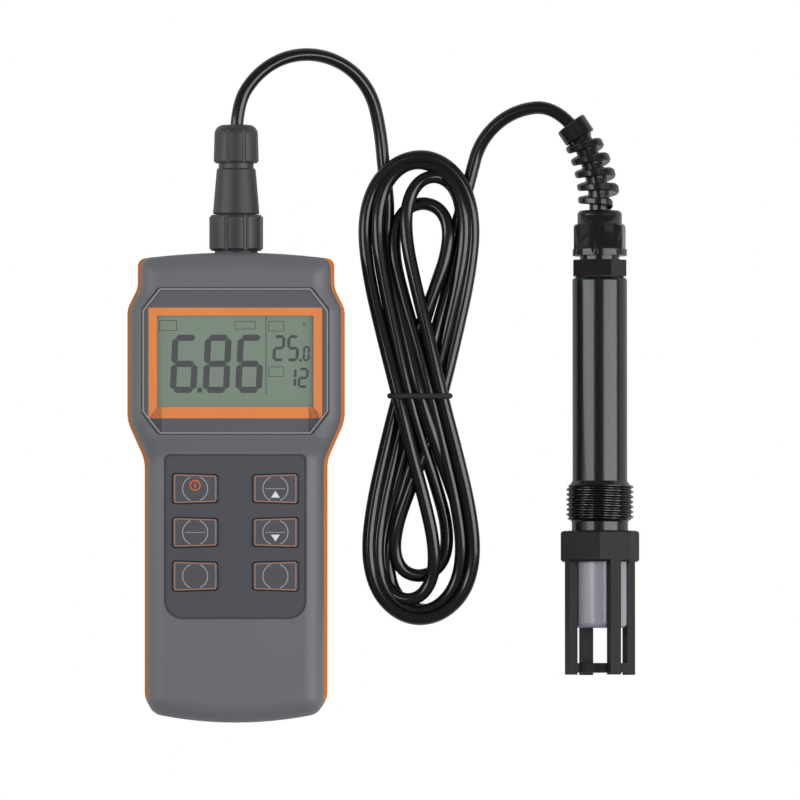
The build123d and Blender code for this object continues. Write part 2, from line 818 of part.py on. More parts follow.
with BuildPart() as socket_insert:
    with BuildSketch(plug_cross(socket_start_y + 0.4)):
        Circle(socket_bore)
        with PolarLocations(pin_circle, pin_count):
            Circle(pin_radius, mode=Mode.SUBTRACT)
    extrude(amount=insert_end_y - socket_start_y - 0.4)
socket_insert.part.label = "socket_insert"
export_step(socket_insert.part, "parts/socket_insert.step")

with BuildPart() as socket_pins:
    with BuildSketch(plug_cross(pin_start_y)):
        with PolarLocations(pin_circle, pin_count):
            Circle(pin_radius)
    extrude(amount=pin_end_y - pin_start_y)
socket_pins.part.label = "socket_pins"
export_step(socket_pins.part, "parts/socket_pins.step")

ribbon_low_z = board_low_z - 2.0
with BuildPart() as signal_ribbon:
    with BuildSketch(plug_cross(pin_start_y)):
        Rectangle(10, 9)
    extrude(amount=-2)
    with BuildSketch(Plane.YZ):
        with BuildLine():
            Polyline((pin_start_y - 1.0, socket_z + 3.5), (pin_start_y - 1.0, socket_z + 5.5),
                     (58, ribbon_low_z), (56, ribbon_low_z), (56, ribbon_low_z - 0.6),
                     (58, ribbon_low_z - 0.6), (pin_start_y - 1.8, socket_z + 4.8),
                     (pin_start_y - 1.8, socket_z + 3.5), close=True)
        make_face()
    extrude(amount=4, both=True)
signal_ribbon.part.label = "signal_ribbon"
export_step(signal_ribbon.part, "parts/signal_ribbon.step")

# Plug: insert, body, coupling ring, gland nut and seals
nose_radius = socket_bore - 0.2
nose_start_y = insert_end_y + 1.0
flange_start_y = socket_end_y + 0.8
flange_end_y = flange_start_y + 1.2
body_start_y = ring_end_y + 0.2
spigot_end_y = body_start_y + 7.7
seat_y = nut_start_y + 0.6
body_end_y = nut_start_y + 8.1
ring_bore = socket_radius + 0.2
lip_bore = nose_radius + 0.9

with BuildPart() as plug_insert:
    revolve(section(plug_section, (0, nose_start_y), (nose_radius, nose_start_y), (nose_radius, flange_start_y),
                    (ring_bore - 0.45, flange_start_y), (ring_bore - 0.45, flange_end_y),
                    (lip_bore - 0.2, flange_end_y), (lip_bore - 0.2, body_start_y), (5.5, body_start_y),
                    (5.5, spigot_end_y), (0, spigot_end_y)), axis=plug_axis)
    with BuildSketch(plug_cross(nose_start_y)):
        with PolarLocations(pin_circle, pin_count):
            Circle(pin_radius + 0.1)
    extrude(amount=pin_end_y + 0.8 - nose_start_y, mode=Mode.SUBTRACT)
plug_insert.part.label = "plug_insert"
export_step(plug_insert.part, "parts/plug_insert.step")

with BuildPart() as plug_face_seal:
    with BuildSketch(plug_cross(socket_end_y)):
        Circle(ring_bore - 0.55)
        Circle(nose_radius + 0.1, mode=Mode.SUBTRACT)
    extrude(amount=flange_start_y - socket_end_y)
plug_face_seal.part.label = "plug_face_seal"
export_step(plug_face_seal.part, "parts/plug_face_seal.step")

with BuildPart() as coupling_ring:
    revolve(section(plug_section, (ring_bore, ring_start_y), (ring_radius - 0.9, ring_start_y),
                    (ring_radius, ring_start_y + 0.9), (ring_radius, ring_end_y - 0.9),
                    (ring_radius - 0.9, ring_end_y), (lip_bore, ring_end_y), (lip_bore, flange_end_y + 0.2),
                    (ring_bore, flange_end_y + 0.2)), axis=plug_axis)
    with BuildSketch(plug_cross(ring_start_y)):
        with PolarLocations(ring_radius + 0.5, ring_flutes, start_angle=180 / ring_flutes + 90):
            Circle(ring_flute_radius)
    extrude(amount=ring_end_y - ring_start_y, mode=Mode.SUBTRACT)
coupling_ring.part.label = "coupling_ring"
export_step(coupling_ring.part, "parts/coupling_ring.step")

with BuildPart() as plug_body:
    revolve(section(plug_section, (5.5, body_start_y), (plug_big_radius - 0.4, body_start_y),
                    (plug_big_radius, body_start_y + 0.4), (plug_small_radius, plug_shoulder_y - 0.6),
                    (plug_small_radius - 0.4, plug_shoulder_y), (plug_neck_radius, plug_shoulder_y),
                    (plug_neck_radius, body_end_y - 0.5), (plug_neck_radius - 0.5, body_end_y),
                    (4.5, body_end_y), (4.5, seat_y), (3.4, seat_y), (3.4, spigot_end_y),
                    (5.5, spigot_end_y)), axis=plug_axis)
plug_body.part.label = "plug_body"
export_step(plug_body.part, "parts/plug_body.step")

with BuildPart() as plug_cable_seal:
    with BuildSketch(plug_cross(seat_y)):
        Circle(4.5)
        Circle(cable_radius + running_gap / 2, mode=Mode.SUBTRACT)
    extrude(amount=body_end_y + 1.1 - seat_y)
plug_cable_seal.part.label = "plug_cable_seal"
export_step(plug_cable_seal.part, "parts/plug_cable_seal.step")

nut_roof_y = body_end_y + 1.3
with BuildPart() as plug_gland_nut:
    with BuildSketch(plug_section) as profile:
        with BuildLine():
            Polyline((cable_radius + 0.3, nut_roof_y), (plug_neck_radius + running_gap, nut_roof_y),
                     (plug_neck_radius + running_gap, nut_start_y), (nut_radius - 0.8, nut_start_y),
                     (nut_radius, nut_start_y + 0.8), (nut_radius - 0.4, nut_end_y),
                     (cable_radius + 0.3, nut_end_y), close=True)
        make_face()
        fillet(profile.vertices().group_by(Axis.Y)[-1].sort_by(Axis.X)[-1], 3.4)
    revolve(axis=plug_axis)
    with BuildSketch(plug_cross(nut_start_y)):
        with PolarLocations(nut_radius + 0.4, nut_flutes, start_angle=180 / nut_flutes + 90):
            Circle(nut_flute_radius)
    extrude(amount=nut_end_y - nut_start_y, mode=Mode.SUBTRACT)
plug_gland_nut.part.label = "plug_gland_nut"
export_step(plug_gland_nut.part, "parts/plug_gland_nut.step")

# The probe lies on its guard's collar and on its gland nut, so it leans a little
leg_half_angle = 26.0
collar_angles = [guard_turn + 90 * k + sign * leg_half_angle for k in range(4) for sign in (-1, 1)]
hex_angles = [hex_turn + 60 * k for k in range(6)]
collar_rest = guard_radius * max(sin(radians(a)) for a in collar_angles)
hex_rest = hex_radius * max(sin(radians(a)) for a in hex_angles)
probe_tilt = atan2(collar_rest - hex_rest, hex_end - guard_end)
probe_foot_z = collar_rest * cos(probe_tilt) + guard_end * sin(probe_tilt)
probe_way = Vector(0, cos(probe_tilt), -sin(probe_tilt))
probe_foot = Vector(probe_x, probe_foot_y, probe_foot_z)
probe_axis = Axis(probe_foot, probe_way)
probe_section = Plane(origin=probe_foot, x_dir=(1, 0, 0), z_dir=(0, sin(probe_tilt), cos(probe_tilt)))


def probe_cross(s):
    """The plane across the probe's axis, a distance s from the leg tips."""
    return Plane(origin=probe_foot + probe_way * s, x_dir=(1, 0, 0), z_dir=probe_way)


def corner_face(plane, radius, angles):
    """A polygon with its corners at given angles on a circle."""
    return section(plane, *[(radius * cos(radians(a)), radius * sin(radians(a))) for a in sorted(angles)])


# Guard cage: faceted collar, four legs and a crossed ring at their tips
with BuildPart() as guard_cage:
    extrude(corner_face(probe_cross(guard_start), guard_radius, collar_angles), amount=guard_end - guard_start)
    chamfer(guard_cage.edges().filter_by(lambda e: abs(e.tangent_at(0.5).dot(probe_way)) < 0.1), 0.7)
    with BuildSketch(probe_cross(0)):
        with PolarLocations((leg_inner + leg_outer) / 2, leg_count, start_angle=guard_turn):
            Rectangle(leg_outer - leg_inner, leg_width)
    extrude(amount=guard_start + 1)
    with BuildSketch(probe_cross(guard_ring_low)):
        Circle(guard_ring_radius)
        Circle(guard_ring_radius - guard_ring_wall, mode=Mode.SUBTRACT)
        with PolarLocations(guard_ring_radius, leg_count, start_angle=guard_turn):
            Rectangle(2, leg_width)
        with Locations(Rotation(0, 0, guard_turn)):
            Rectangle(2 * guard_ring_radius - 1, guard_spoke)
            Rectangle(guard_spoke, 2 * guard_ring_radius - 1)
    extrude(amount=guard_ring_high - guard_ring_low)
    with BuildSketch(probe_cross(guard_start - 1)):
        Circle(guard_bore)
    extrude(amount=guard_end - guard_start + 2, mode=Mode.SUBTRACT)
guard_cage.part.label = "guard_cage"
export_step(guard_cage.part, "parts/guard_cage.step")

# Wetting cap over the sensors
cap_bore = cap_radius - cap_wall
with BuildPart() as wetting_cap:
    with BuildSketch(probe_cross(cap_start)):
        Circle(cap_radius)
    extrude(amount=cap_end - cap_start)
    fillet(wetting_cap.edges().sort_by(probe_axis)[0], cap_edge)
    with BuildSketch(probe_cross(cap_start + cap_wall)):
        Circle(cap_bore)
    extrude(amount=cap_end - cap_start, mode=Mode.SUBTRACT)
wetting_cap.part.label = "wetting_cap"
export_step(wetting_cap.part, "parts/wetting_cap.step")

# Sensor head with its bulb, pins and junction
tube_bore = spigot_radius - tube_wall + 0.1
spigot_start = cap_end + 0.2
head_flange_start = cap_end - 6
seal_groove = 1.2
with BuildPart() as sensor_head:
    revolve(section(probe_section, (0, head_start), (tube_bore - 0.2, head_start),
                    (tube_bore - 0.2, head_flange_start), (head_radius, head_flange_start),
                    (head_radius, head_flange_start + 2), (head_radius - seal_groove, head_flange_start + 2),
                    (head_radius - seal_groove, head_flange_start + 4), (head_radius, head_flange_start + 4),
                    (head_radius, spigot_start), (tube_bore, spigot_start), (tube_bore, spigot_start + 4),
                    (0, spigot_start + 4)), axis=probe_axis)
sensor_head.part.label = "sensor_head"
export_step(sensor_head.part, "parts/sensor_head.step")

with BuildPart() as cap_seal:
    with BuildSketch(probe_cross(head_flange_start + 2)):
        Circle(cap_bore - 0.02)
        Circle(head_radius - seal_groove, mode=Mode.SUBTRACT)
    extrude(amount=2)
cap_seal.part.label = "cap_seal"
export_step(cap_seal.part, "parts/cap_seal.step")

bulb_centre = bulb_low + bulb_radius
stem_meet = bulb_centre + (bulb_radius ** 2 - stem_radius ** 2) ** 0.5
with BuildPart() as ph_bulb:
    with BuildSketch(probe_section):
        with BuildLine():
            ThreePointArc((0, bulb_low), (bulb_radius, bulb_centre), (stem_radius, stem_meet))
            Polyline((stem_radius, stem_meet), (stem_radius, head_start), (0, head_start), (0, bulb_low))
        make_face()
    revolve(axis=probe_axis)
ph_bulb.part.label = "ph_bulb"
export_step(ph_bulb.part, "parts/ph_bulb.step")

with BuildPart() as conductivity_pins:
    with BuildSketch(probe_cross(head_start - 9)):
        with PolarLocations(5.4, 2, start_angle=0):
            Circle(1.0)
    extrude(amount=9)
conductivity_pins.part.label = "conductivity_pins"
export_step(conductivity_pins.part, "parts/conductivity_pins.step")

with BuildPart() as temperature_sensor:
    with BuildSketch(probe_cross(head_start - 9)):
        with Locations((0, 5.2)):
            Circle(1.5)
    extrude(amount=9)
temperature_sensor.part.label = "temperature_sensor"
export_step(temperature_sensor.part, "parts/temperature_sensor.step")

with BuildPart() as reference_junction:
    with BuildSketch(probe_cross(head_start - 1.5)):
        with Locations((0, -5.0)):
            Circle(1.6)
    extrude(amount=1.5)
reference_junction.part.label = "reference_junction"
export_step(reference_junction.part, "parts/reference_junction.step")

# Tube with its reduced lower end, and the screwed adapter on it
gland_spigot_radius = 6.5
tube_roof = tube_end - 2.7
with BuildPart() as probe_tube:
    with BuildSketch(probe_section) as profile:
        with BuildLine():
            Polyline((tube_bore, spigot_start), (spigot_radius, spigot_start), (spigot_radius, tube_start),
                     (tube_radius, tube_start), (tube_radius, tube_end), (gland_spigot_radius, tube_end),
                     (gland_spigot_radius, tube_roof), (tube_bore, tube_roof), close=True)
        make_face()
        fillet(profile.vertices().group_by(Axis.Y)[-1].sort_by(Axis.X)[-1], tube_edge)
    revolve(axis=probe_axis)
probe_tube.part.label = "probe_tube"
export_step(probe_tube.part, "parts/probe_tube.step")

with BuildPart() as thread_adapter:
    revolve(section(probe_section, (spigot_radius, adapter_foot), (adapter_foot_radius - 0.4, adapter_foot),
                    (adapter_foot_radius, adapter_foot + 0.4), (adapter_foot_radius, guard_end + 0.3),
                    (neck_radius, guard_end + 0.3), (neck_radius, thread_start),
                    (thread_radius - 0.6, thread_start), (thread_radius, thread_start + 0.6),
                    (thread_radius, thread_end - 0.3), (thread_radius - 0.4, thread_end),
                    (tube_radius, thread_end + thread_cone), (spigot_radius, thread_end + thread_cone)),
            axis=probe_axis)
thread_adapter.part.label = "thread_adapter"
export_step(thread_adapter.part, "parts/thread_adapter.step")

# Cable gland at the probe's upper end
gland_bore = 4.5
gland_thread_end = hex_end - 2.9
octagon_angles = [22.5 + 45 * k for k in range(8)]
with BuildPart() as gland_o_ring:
    with BuildSketch(probe_cross(tube_end)):
        Circle(tube_radius - tube_edge - 0.1)
        Circle(gland_spigot_radius, mode=Mode.SUBTRACT)
    extrude(amount=flange_start - tube_end)
gland_o_ring.part.label = "gland_o_ring"
export_step(gland_o_ring.part, "parts/gland_o_ring.step")

with BuildPart() as gland_body:
    extrude(corner_face(probe_cross(flange_start), flange_radius, octagon_angles), amount=flange_end - flange_start)
    revolve(section(probe_section, (0, flange_start - 6), (gland_spigot_radius, flange_start - 6),
                    (gland_spigot_radius, flange_start), (gland_thread_radius, flange_start + 1),
                    (gland_thread_radius, gland_thread_end), (0, gland_thread_end)), axis=probe_axis)
    revolve(section(probe_section, (0, flange_start - 7), (cable_radius + 0.3, flange_start - 7),
                    (cable_radius + 0.3, flange_end + 2), (gland_bore, flange_end + 2),
                    (gland_bore, hex_end), (0, hex_end)), axis=probe_axis, mode=Mode.SUBTRACT)
gland_body.part.label = "gland_body"
export_step(gland_body.part, "parts/gland_body.step")

with BuildPart() as gland_seal:
    with BuildSketch(probe_cross(flange_end + 2)):
        Circle(gland_bore)
        Circle(cable_radius + running_gap / 2, mode=Mode.SUBTRACT)
    extrude(amount=gland_thread_end - flange_end - 1.8)
gland_seal.part.label = "gland_seal"
export_step(gland_seal.part, "parts/gland_seal.step")


def tail_point(length):
    """A place on the bent tail's axis and the way it runs there."""
    turned = length / tail_bend_radius
    place = probe_section.from_local_coords(Vector(-tail_bend_radius * (1 - cos(turned)),
                                                   dome_end + tail_bend_radius * sin(turned), 0))
    way = probe_section.x_dir * -sin(turned) + probe_way * cos(turned)
    return place, way


def tail_disc(length, lean):
    """The plane of one turn of the tail, leaning across the tail's axis."""
    place, way = tail_point(length)
    across = way.cross(probe_section.z_dir)
    return Plane(origin=place, x_dir=across * cos(lean) + way * sin(lean),
                 z_dir=way * cos(lean) - across * sin(lean))


# Gland nut and the ribbed, bent tail that guards the cable
tail_length = tail_bend_radius * radians(tail_bend)
bend_axis = Axis(probe_section.from_local_coords(Vector(-tail_bend_radius, dome_end, 0)), probe_section.z_dir)
with BuildPart() as gland_nut:
    extrude(corner_face(probe_cross(hex_start), hex_radius, hex_angles), amount=hex_end - hex_start)
    revolve(section(probe_section, (hex_radius * 0.88, hex_end), (hex_radius * 2, hex_end),
                    (hex_radius * 2, hex_end - hex_radius * 0.9)), axis=probe_axis, mode=Mode.SUBTRACT)
    revolve(section(probe_section, (0, hex_start), (hex_radius - 0.3, hex_start),
                    (hex_radius - 0.3, hex_start + 2.2), (hex_radius - 1.2, hex_start + 2.9),
                    (0, hex_start + 2.9)), axis=probe_axis)
    with BuildSketch(probe_section) as profile:
        with BuildLine():
            Polyline((0, hex_end - 1), (dome_radius, hex_end - 1), (dome_radius, dome_end), (0, dome_end),
                     close=True)
        make_face()
        fillet(profile.vertices().group_by(Axis.Y)[-1].sort_by(Axis.X)[-1], 1.6)
    revolve(axis=probe_axis)
    with BuildSketch(probe_cross(dome_end)):
        Circle(tail_bore + 0.8)
    revolve(axis=bend_axis, revolution_arc=tail_bend)
    for turn in range(tail_turns):
        spot = tail_first + turn * tail_pitch
        radius = tail_big_radius - (tail_big_radius - tail_small_radius) * turn / (tail_turns - 1)
        with BuildSketch(tail_disc(spot, radians(tail_lean))):
            Circle(radius)
        extrude(amount=tail_bar / 2, both=True)
    with BuildSketch(tail_disc(tail_length, 0)):
        Circle(tail_ring_radius)
    extrude(amount=-tail_ring_length)
    with BuildSketch(probe_cross(hex_start)):
        Circle(gland_thread_radius + running_gap)
    extrude(amount=gland_thread_end + 0.4 - hex_start, mode=Mode.SUBTRACT)
    with BuildSketch(probe_cross(gland_thread_end)):
        Circle(tail_bore)
    extrude(amount=dome_end - gland_thread_end, mode=Mode.SUBTRACT)
    with BuildSketch(probe_cross(dome_end)):
        Circle(tail_bore)
    revolve(axis=bend_axis, revolution_arc=tail_bend + 4, mode=Mode.SUBTRACT)
gland_nut.part.label = "gland_nut"
export_step(gland_nut.part, "parts/gland_nut.step")

# Cable: straight runs and arcs from the plug into the tied hank, and on to the probe
def corner_radii(points):
    """A bend for each corner that its shorter neighbouring run has room for."""
    radii = []
    for before, corner, after in zip(points, points[1:], points[2:]):
        run_in = Vector(*corner) - Vector(*before)
        run_out = Vector(*after) - Vector(*corner)
        turn = radians(run_in.get_angle(run_out))
        radii.append(0.45 * min(run_in.length, run_out.length) / tan(turn / 2))
    return radii


lead_points = [(0, 124.4, 22), (0, 137.5, 22), (6.7, 148.7, 20.5), (17.0, 155.7, 16.5), (29.4, 157.0, 11.0),
               (40.9, 152.3, 6.0), (48.9, 142.8, 3.2), (52.0, 129.0, 2.4), (53.0, 115.5, 2.4)]
lead_radii = corner_radii(lead_points)
with BuildPart() as cable_lead:
    with BuildLine() as lead_path:
        FilletPolyline(*lead_points, radius=lead_radii)
    with BuildSketch(Plane(origin=lead_points[0], z_dir=(0, 1, 0))):
        Circle(cable_radius)
    sweep(path=lead_path.line)
cable_lead.part.label = "cable_lead"
export_step(cable_lead.part, "parts/cable_lead.step")

tail_corner = tail_bend_radius * tan(radians(tail_bend) / 2)
tail_points = [probe_section.from_local_coords(Vector(0, dome_end - 7.6, 0)),
               probe_section.from_local_coords(Vector(0, dome_end + tail_corner, 0)),
               Vector(116.0, 138.25, 8.4), Vector(99.95, 136.6, 5.3), Vector(88.2, 126.0, 2.6),
               Vector(84.3, 111.0, 2.4)]
tail_radii = corner_radii(tail_points)
tail_radii[0] = tail_bend_radius
tail_radii[1] = (tail_points[2] - tail_points[1]).length - tail_corner
tail_radii[1] = 0.9 * tail_radii[1] / tan(radians((tail_points[2] - tail_points[1]).get_angle(
    tail_points[3] - tail_points[2])) / 2)
print("cable bends", [round(r, 1) for r in lead_radii + tail_radii])
with BuildPart() as cable_tail:
    with BuildLine() as tail_path:
        FilletPolyline(*tail_points, radius=tail_radii)
    with BuildSketch(Plane(origin=tail_points[0], z_dir=probe_way)):
        Circle(cable_radius)
    sweep(path=tail_path.line)
cable_tail.part.label = "cable_tail"
export_step(cable_tail.part, "parts/cable_tail.step")

# Tied hank, as the solid shape of its two lobes and its crossing
hank_tie_half = 9.6
lobe_thick = 9.4
lobe_outlines = [(-1, 43.4, 66.6, 122.8), (1, 88.5, 66.6, 122.8), (1, 88.7, 66.3, -50.8), (-1, 44.8, 66.3, -50.8)]


def lobe_line(side_x, centre_x, far_y, tie_x, tie_y):
    """Points of one quarter of a lobe, from the tie to the lobe's far end."""
    points = []
    for step in range(7):
        swing = radians(15 * step)
        share = cos(swing) ** 2
        bulge = sin(2 * swing) * (1 - 0.35 * share * share) / 0.9125
        x = tie_x * share + centre_x * (1 - share) + (side_x - (tie_x + centre_x) / 2) * bulge
        points.append((x, tie_y + (far_y - tie_y) * sin(swing)))
    return points


with BuildPart() as cable_hank:
    with BuildSketch():
        with BuildLine():
            for side, side_x, centre_x, far_y in lobe_outlines:
                Spline(*lobe_line(side_x, centre_x, far_y, hank_x + side * hank_tie_half, hank_y))
        make_face()
    extrude(amount=lobe_thick)
    for low_x, high_x, centre_x, near_y, far_y in ((57.0, 77.2, 67.2, 46.0, 100.8), (57.0, 77.6, 67.0, 20.0, -29.0)):
        with BuildSketch():
            with BuildLine():
                for side_x in (low_x, high_x):
                    Spline(*lobe_line(side_x, centre_x, far_y, hank_x, near_y))
            make_face()
        extrude(amount=lobe_thick, mode=Mode.SUBTRACT)
    with BuildSketch(Plane.XY.offset(lobe_thick)):
        with Locations((hank_x, hank_y)):
            Rectangle(2 * hank_tie_half - 1, 22)
    extrude(amount=hank_height - 2 * tie_radius - lobe_thick, taper=30)
    with BuildSketch(Plane.XZ.offset(-hank_y - tie_radius - 0.1)):
        with Locations((hank_x, 0)):
            Rectangle(4 * hank_tie_half, 2 * hank_height)
        with Locations((hank_x, hank_height / 2 + tie_radius)):
            Rectangle(2 * hank_tie_half, hank_height - 2 * tie_radius - 0.4, mode=Mode.SUBTRACT)
    extrude(amount=2 * tie_radius + 0.2, mode=Mode.SUBTRACT)
cable_hank.part.label = "cable_hank"
export_step(cable_hank.part, "parts/cable_hank.step")

tie_half = hank_tie_half + 0.3 + tie_radius
tie_low = tie_radius
tie_high = hank_height + 0.3
with BuildPart() as cable_tie:
    with BuildLine(Plane.XZ.offset(-hank_y)) as tie_path:
        FilletPolyline((hank_x - tie_half, tie_low), (hank_x + tie_half, tie_low), (hank_x + tie_half, tie_high),
                       (hank_x - tie_half, tie_high), radius=2.4, close=True)
    with BuildSketch(Plane(origin=(hank_x, hank_y, tie_low), z_dir=(1, 0, 0))):
        Circle(tie_radius)
    sweep(path=tie_path.line)
cable_tie.part.label = "cable_tie"
export_step(cable_tie.part, "parts/cable_tie.step")
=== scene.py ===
# %% [markdown]
# # A handheld water meter with its cable and probe
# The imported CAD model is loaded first. It gives every solid its place, in metres, in one frame:
# the meter lies on its back on z = 0 with its face up, and the probe lies to its right.

import bmesh
import bpy
import json
from math import cos, pi, radians, sin
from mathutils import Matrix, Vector


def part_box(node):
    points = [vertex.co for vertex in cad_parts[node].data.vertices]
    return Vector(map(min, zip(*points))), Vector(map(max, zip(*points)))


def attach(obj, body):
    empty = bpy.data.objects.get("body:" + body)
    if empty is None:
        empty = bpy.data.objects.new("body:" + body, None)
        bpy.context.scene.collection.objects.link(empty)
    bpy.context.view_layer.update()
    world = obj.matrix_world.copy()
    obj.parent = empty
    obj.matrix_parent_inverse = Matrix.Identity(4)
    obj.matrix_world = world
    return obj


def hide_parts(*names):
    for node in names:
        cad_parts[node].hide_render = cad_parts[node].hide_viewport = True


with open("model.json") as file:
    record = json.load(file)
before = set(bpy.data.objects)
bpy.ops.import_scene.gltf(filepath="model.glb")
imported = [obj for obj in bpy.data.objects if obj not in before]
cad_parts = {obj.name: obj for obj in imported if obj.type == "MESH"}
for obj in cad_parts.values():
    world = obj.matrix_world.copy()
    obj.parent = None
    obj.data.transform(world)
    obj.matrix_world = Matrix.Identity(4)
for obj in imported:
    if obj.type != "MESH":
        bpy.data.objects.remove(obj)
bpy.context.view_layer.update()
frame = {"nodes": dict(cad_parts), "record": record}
nodes = frame["nodes"]
MM = 0.001
print("nodes", len(nodes))

# %% [markdown]
# ## Looking straight down
# The photograph looks straight down from far away, with lines of sight that are almost parallel.
# A long lens on a high camera gives the same view: 800 pixels span 288.8 mm at 20 mm above the
# table, which is about half the case's depth.

# %% Camera
PIXEL = 0.361 * MM
PHOTO_WIDTH = 800
ORIGIN_X, ORIGIN_Y = 236.3, 487.3
SENSOR_WIDTH = 36
CAMERA_HEIGHT = 3.5
VIEW_PLANE = 0.02
CLIP_END = 20


def from_photo(x, y):
    """A place on the table, in metres, from a pixel of the photograph."""
    return (x - ORIGIN_X) * PIXEL, (ORIGIN_Y - y) * PIXEL


camera_data = bpy.data.cameras.new("camera")
camera_data.sensor_width = SENSOR_WIDTH
camera_data.lens = SENSOR_WIDTH * (CAMERA_HEIGHT - VIEW_PLANE) / (PHOTO_WIDTH * PIXEL)
camera_data.clip_end = CLIP_END
camera = bpy.data.objects.new("camera", camera_data)
camera.location = (*from_photo(PHOTO_WIDTH / 2, PHOTO_WIDTH / 2), CAMERA_HEIGHT)
bpy.context.scene.collection.objects.link(camera)
bpy.context.scene.camera = camera
bpy.context.scene.view_settings.view_transform = "Standard"
print("lens in millimetres", round(camera_data.lens))

# %% [markdown]
# ## Shader maths as plain expressions
# A material's maths reads best as Python. This class wraps a node's output socket, so that
# `noise * 0.2 + 0.4` adds the Math nodes by itself. Every node comes from `add_node`, which sets
# the node's settings first, and then the values or links of its sockets.

# %% Wires
class Wire:
    """An output socket that Python's own signs work on."""

    def __init__(self, tree, socket):
        self.tree = tree
        self.socket = socket

    def maths(self, operation, first, second):
        return add_node(self.tree, "ShaderNodeMath", {0: first, 1: second}, {"operation": operation})

    def __add__(self, other):
        return self.maths("ADD", self, other)

    def __radd__(self, other):
        return self.maths("ADD", other, self)

    def __mul__(self, other):
        return self.maths("MULTIPLY", self, other)

    def __rmul__(self, other):
        return self.maths("MULTIPLY", other, self)


def feed(tree, socket, value):
    """Sets a socket's own value, or links a wire into it."""
    if isinstance(value, Wire):
        tree.links.new(value.socket, socket)
    else:
        socket.default_value = value


def add_node(tree, kind, sockets=None, settings=None, output=0):
    """Adds a node and gives back the wire that leaves it. Sockets go by name or by number."""
    made = tree.nodes.new(kind)
    for key, value in (settings or {}).items():
        setattr(made, key, value)
    for key, value in (sockets or {}).items():
        feed(tree, made.inputs[key], value)
    return Wire(tree, made.outputs[output])


# %% [markdown]
# ## What a finish is made of
# Each finish is one Principled shader. What is the same all over a piece is set on the shader's
# own sockets. What changes over it comes from noise on the piece's own coordinates, so that the
# pattern stays on the piece in every view.

# %% Finishes
class Finish:
    """A material on one Principled shader, and the ways in which its look is set."""

    def __init__(self, name, **constants):
        self.material = bpy.data.materials.new(name)
        self.material.use_nodes = True
        self.tree = self.material.node_tree
        self.shader = self.tree.nodes["Principled BSDF"]
        for socket, value in constants.items():
            self.set(socket.replace("_", " "), value)

    def set(self, socket, value):
        feed(self.tree, self.shader.inputs[socket], value)

    def noise(self, scale, detail=2.0):
        place = add_node(self.tree, "ShaderNodeTexCoord", output="Object")
        sockets = {"Vector": place, "Scale": scale, "Detail": detail}
        return add_node(self.tree, "ShaderNodeTexNoise", sockets)

    def mix(self, share, first, second):
        """Two colours, mixed. A Mix node's colours are its sockets 6 and 7, and its output 2."""
        sockets = {0: share, 6: first, 7: second}
        return add_node(self.tree, "ShaderNodeMix", sockets, {"data_type": "RGBA"}, output=2)

    def shade(self, noise, colour, dark, light):
        """A base colour that a noise makes a little darker and lighter."""
        self.set("Base Color", self.mix(noise, tint(colour, dark), tint(colour, light)))

    def bump(self, height, distance):
        sockets = {"Height": height, "Distance": distance, "Strength": 1.0}
        self.set("Normal", add_node(self.tree, "ShaderNodeBump", sockets))


def srgb(red, green, blue):
    """A display colour, 0 to 255, as the linear colour that a shader takes."""
    linear = []
    for value in (red, green, blue):
        share = value / 255
        linear.append(share / 12.92 if share <= 0.04045 else ((share + 0.055) / 1.055) ** 2.4)
    return (*linear, 1.0)


def tint(colour, factor):
    """A colour made darker or lighter by a factor."""
    return (colour[0] * factor, colour[1] * factor, colour[2] * factor, 1.0)


# %% [markdown]
# ## Moulded plastics
# The case is moulded in a tool with a fine spark-eroded texture, so it has a fine grain and a
# broad, soft sheen. Each plastic gets the same recipe with its own colour, grain and gloss.
# Broad clouds change its shade and sheen slightly, as on any large moulding.

# %% Moulded plastic recipe
CLOUD_SCALE = 28.0
CLOUD_SHADE = 0.06
CLOUD_SHEEN = 0.08
GRAIN_SHEEN = 0.06
SHEEN_START = 0.06


def moulded(name, colour, grain=0.35, depth=0.02, roughness=0.5, **constants):
    """A moulded plastic. The grain's size and depth are in millimetres."""
    finish = Finish(name, **constants)
    grain_noise = finish.noise(1 / MM / grain, detail=3)
    cloud = finish.noise(CLOUD_SCALE, detail=3)
    finish.shade(cloud, colour, dark=1 - CLOUD_SHADE, light=1 + CLOUD_SHADE)
    finish.set("Roughness", roughness - SHEEN_START + cloud * CLOUD_SHEEN + grain_noise * GRAIN_SHEEN)
    finish.bump(grain_noise, depth * MM)
    return finish.material


ORANGE = srgb(248, 142, 58)
case_plastic = moulded("case_plastic", srgb(108, 110, 113), roughness=0.48)
orange_plastic = moulded("orange_plastic", ORANGE, roughness=0.45)
panel_film = moulded("panel_film", srgb(78, 78, 86), grain=0.2, depth=0.006, roughness=0.42)
key_plastic = moulded("key_plastic", srgb(82, 82, 90), grain=0.2, depth=0.006, roughness=0.4)
plug_plastic = moulded("plug_plastic", srgb(56, 56, 58), grain=0.25, depth=0.012, roughness=0.42)
inner_plastic = moulded("inner_plastic", srgb(214, 214, 210), roughness=0.5)
inner_dark = moulded("inner_dark", srgb(48, 48, 50), roughness=0.5)
rubber_dark = moulded("rubber_dark", srgb(40, 40, 42), grain=0.4, depth=0.01, roughness=0.7)
rubber_pale = moulded("rubber_pale", srgb(150, 150, 152), grain=0.4, depth=0.01, roughness=0.7)
print("moulded plastics", len(bpy.data.materials))

# %% [markdown]
# ## Glossy black
# The cable's jacket and the probe are polished black plastic. Their colour is nearly black all
# over, so what is seen of them is the reflection of the lamps: a smooth skin with a clear coat.
# The guard is black too, but duller, so it is a moulded plastic.

# %% Glossy black recipe
SKIN_SCALE = 60.0
RIPPLE_SCALE = 900.0
RIPPLE_SHEEN = 0.08


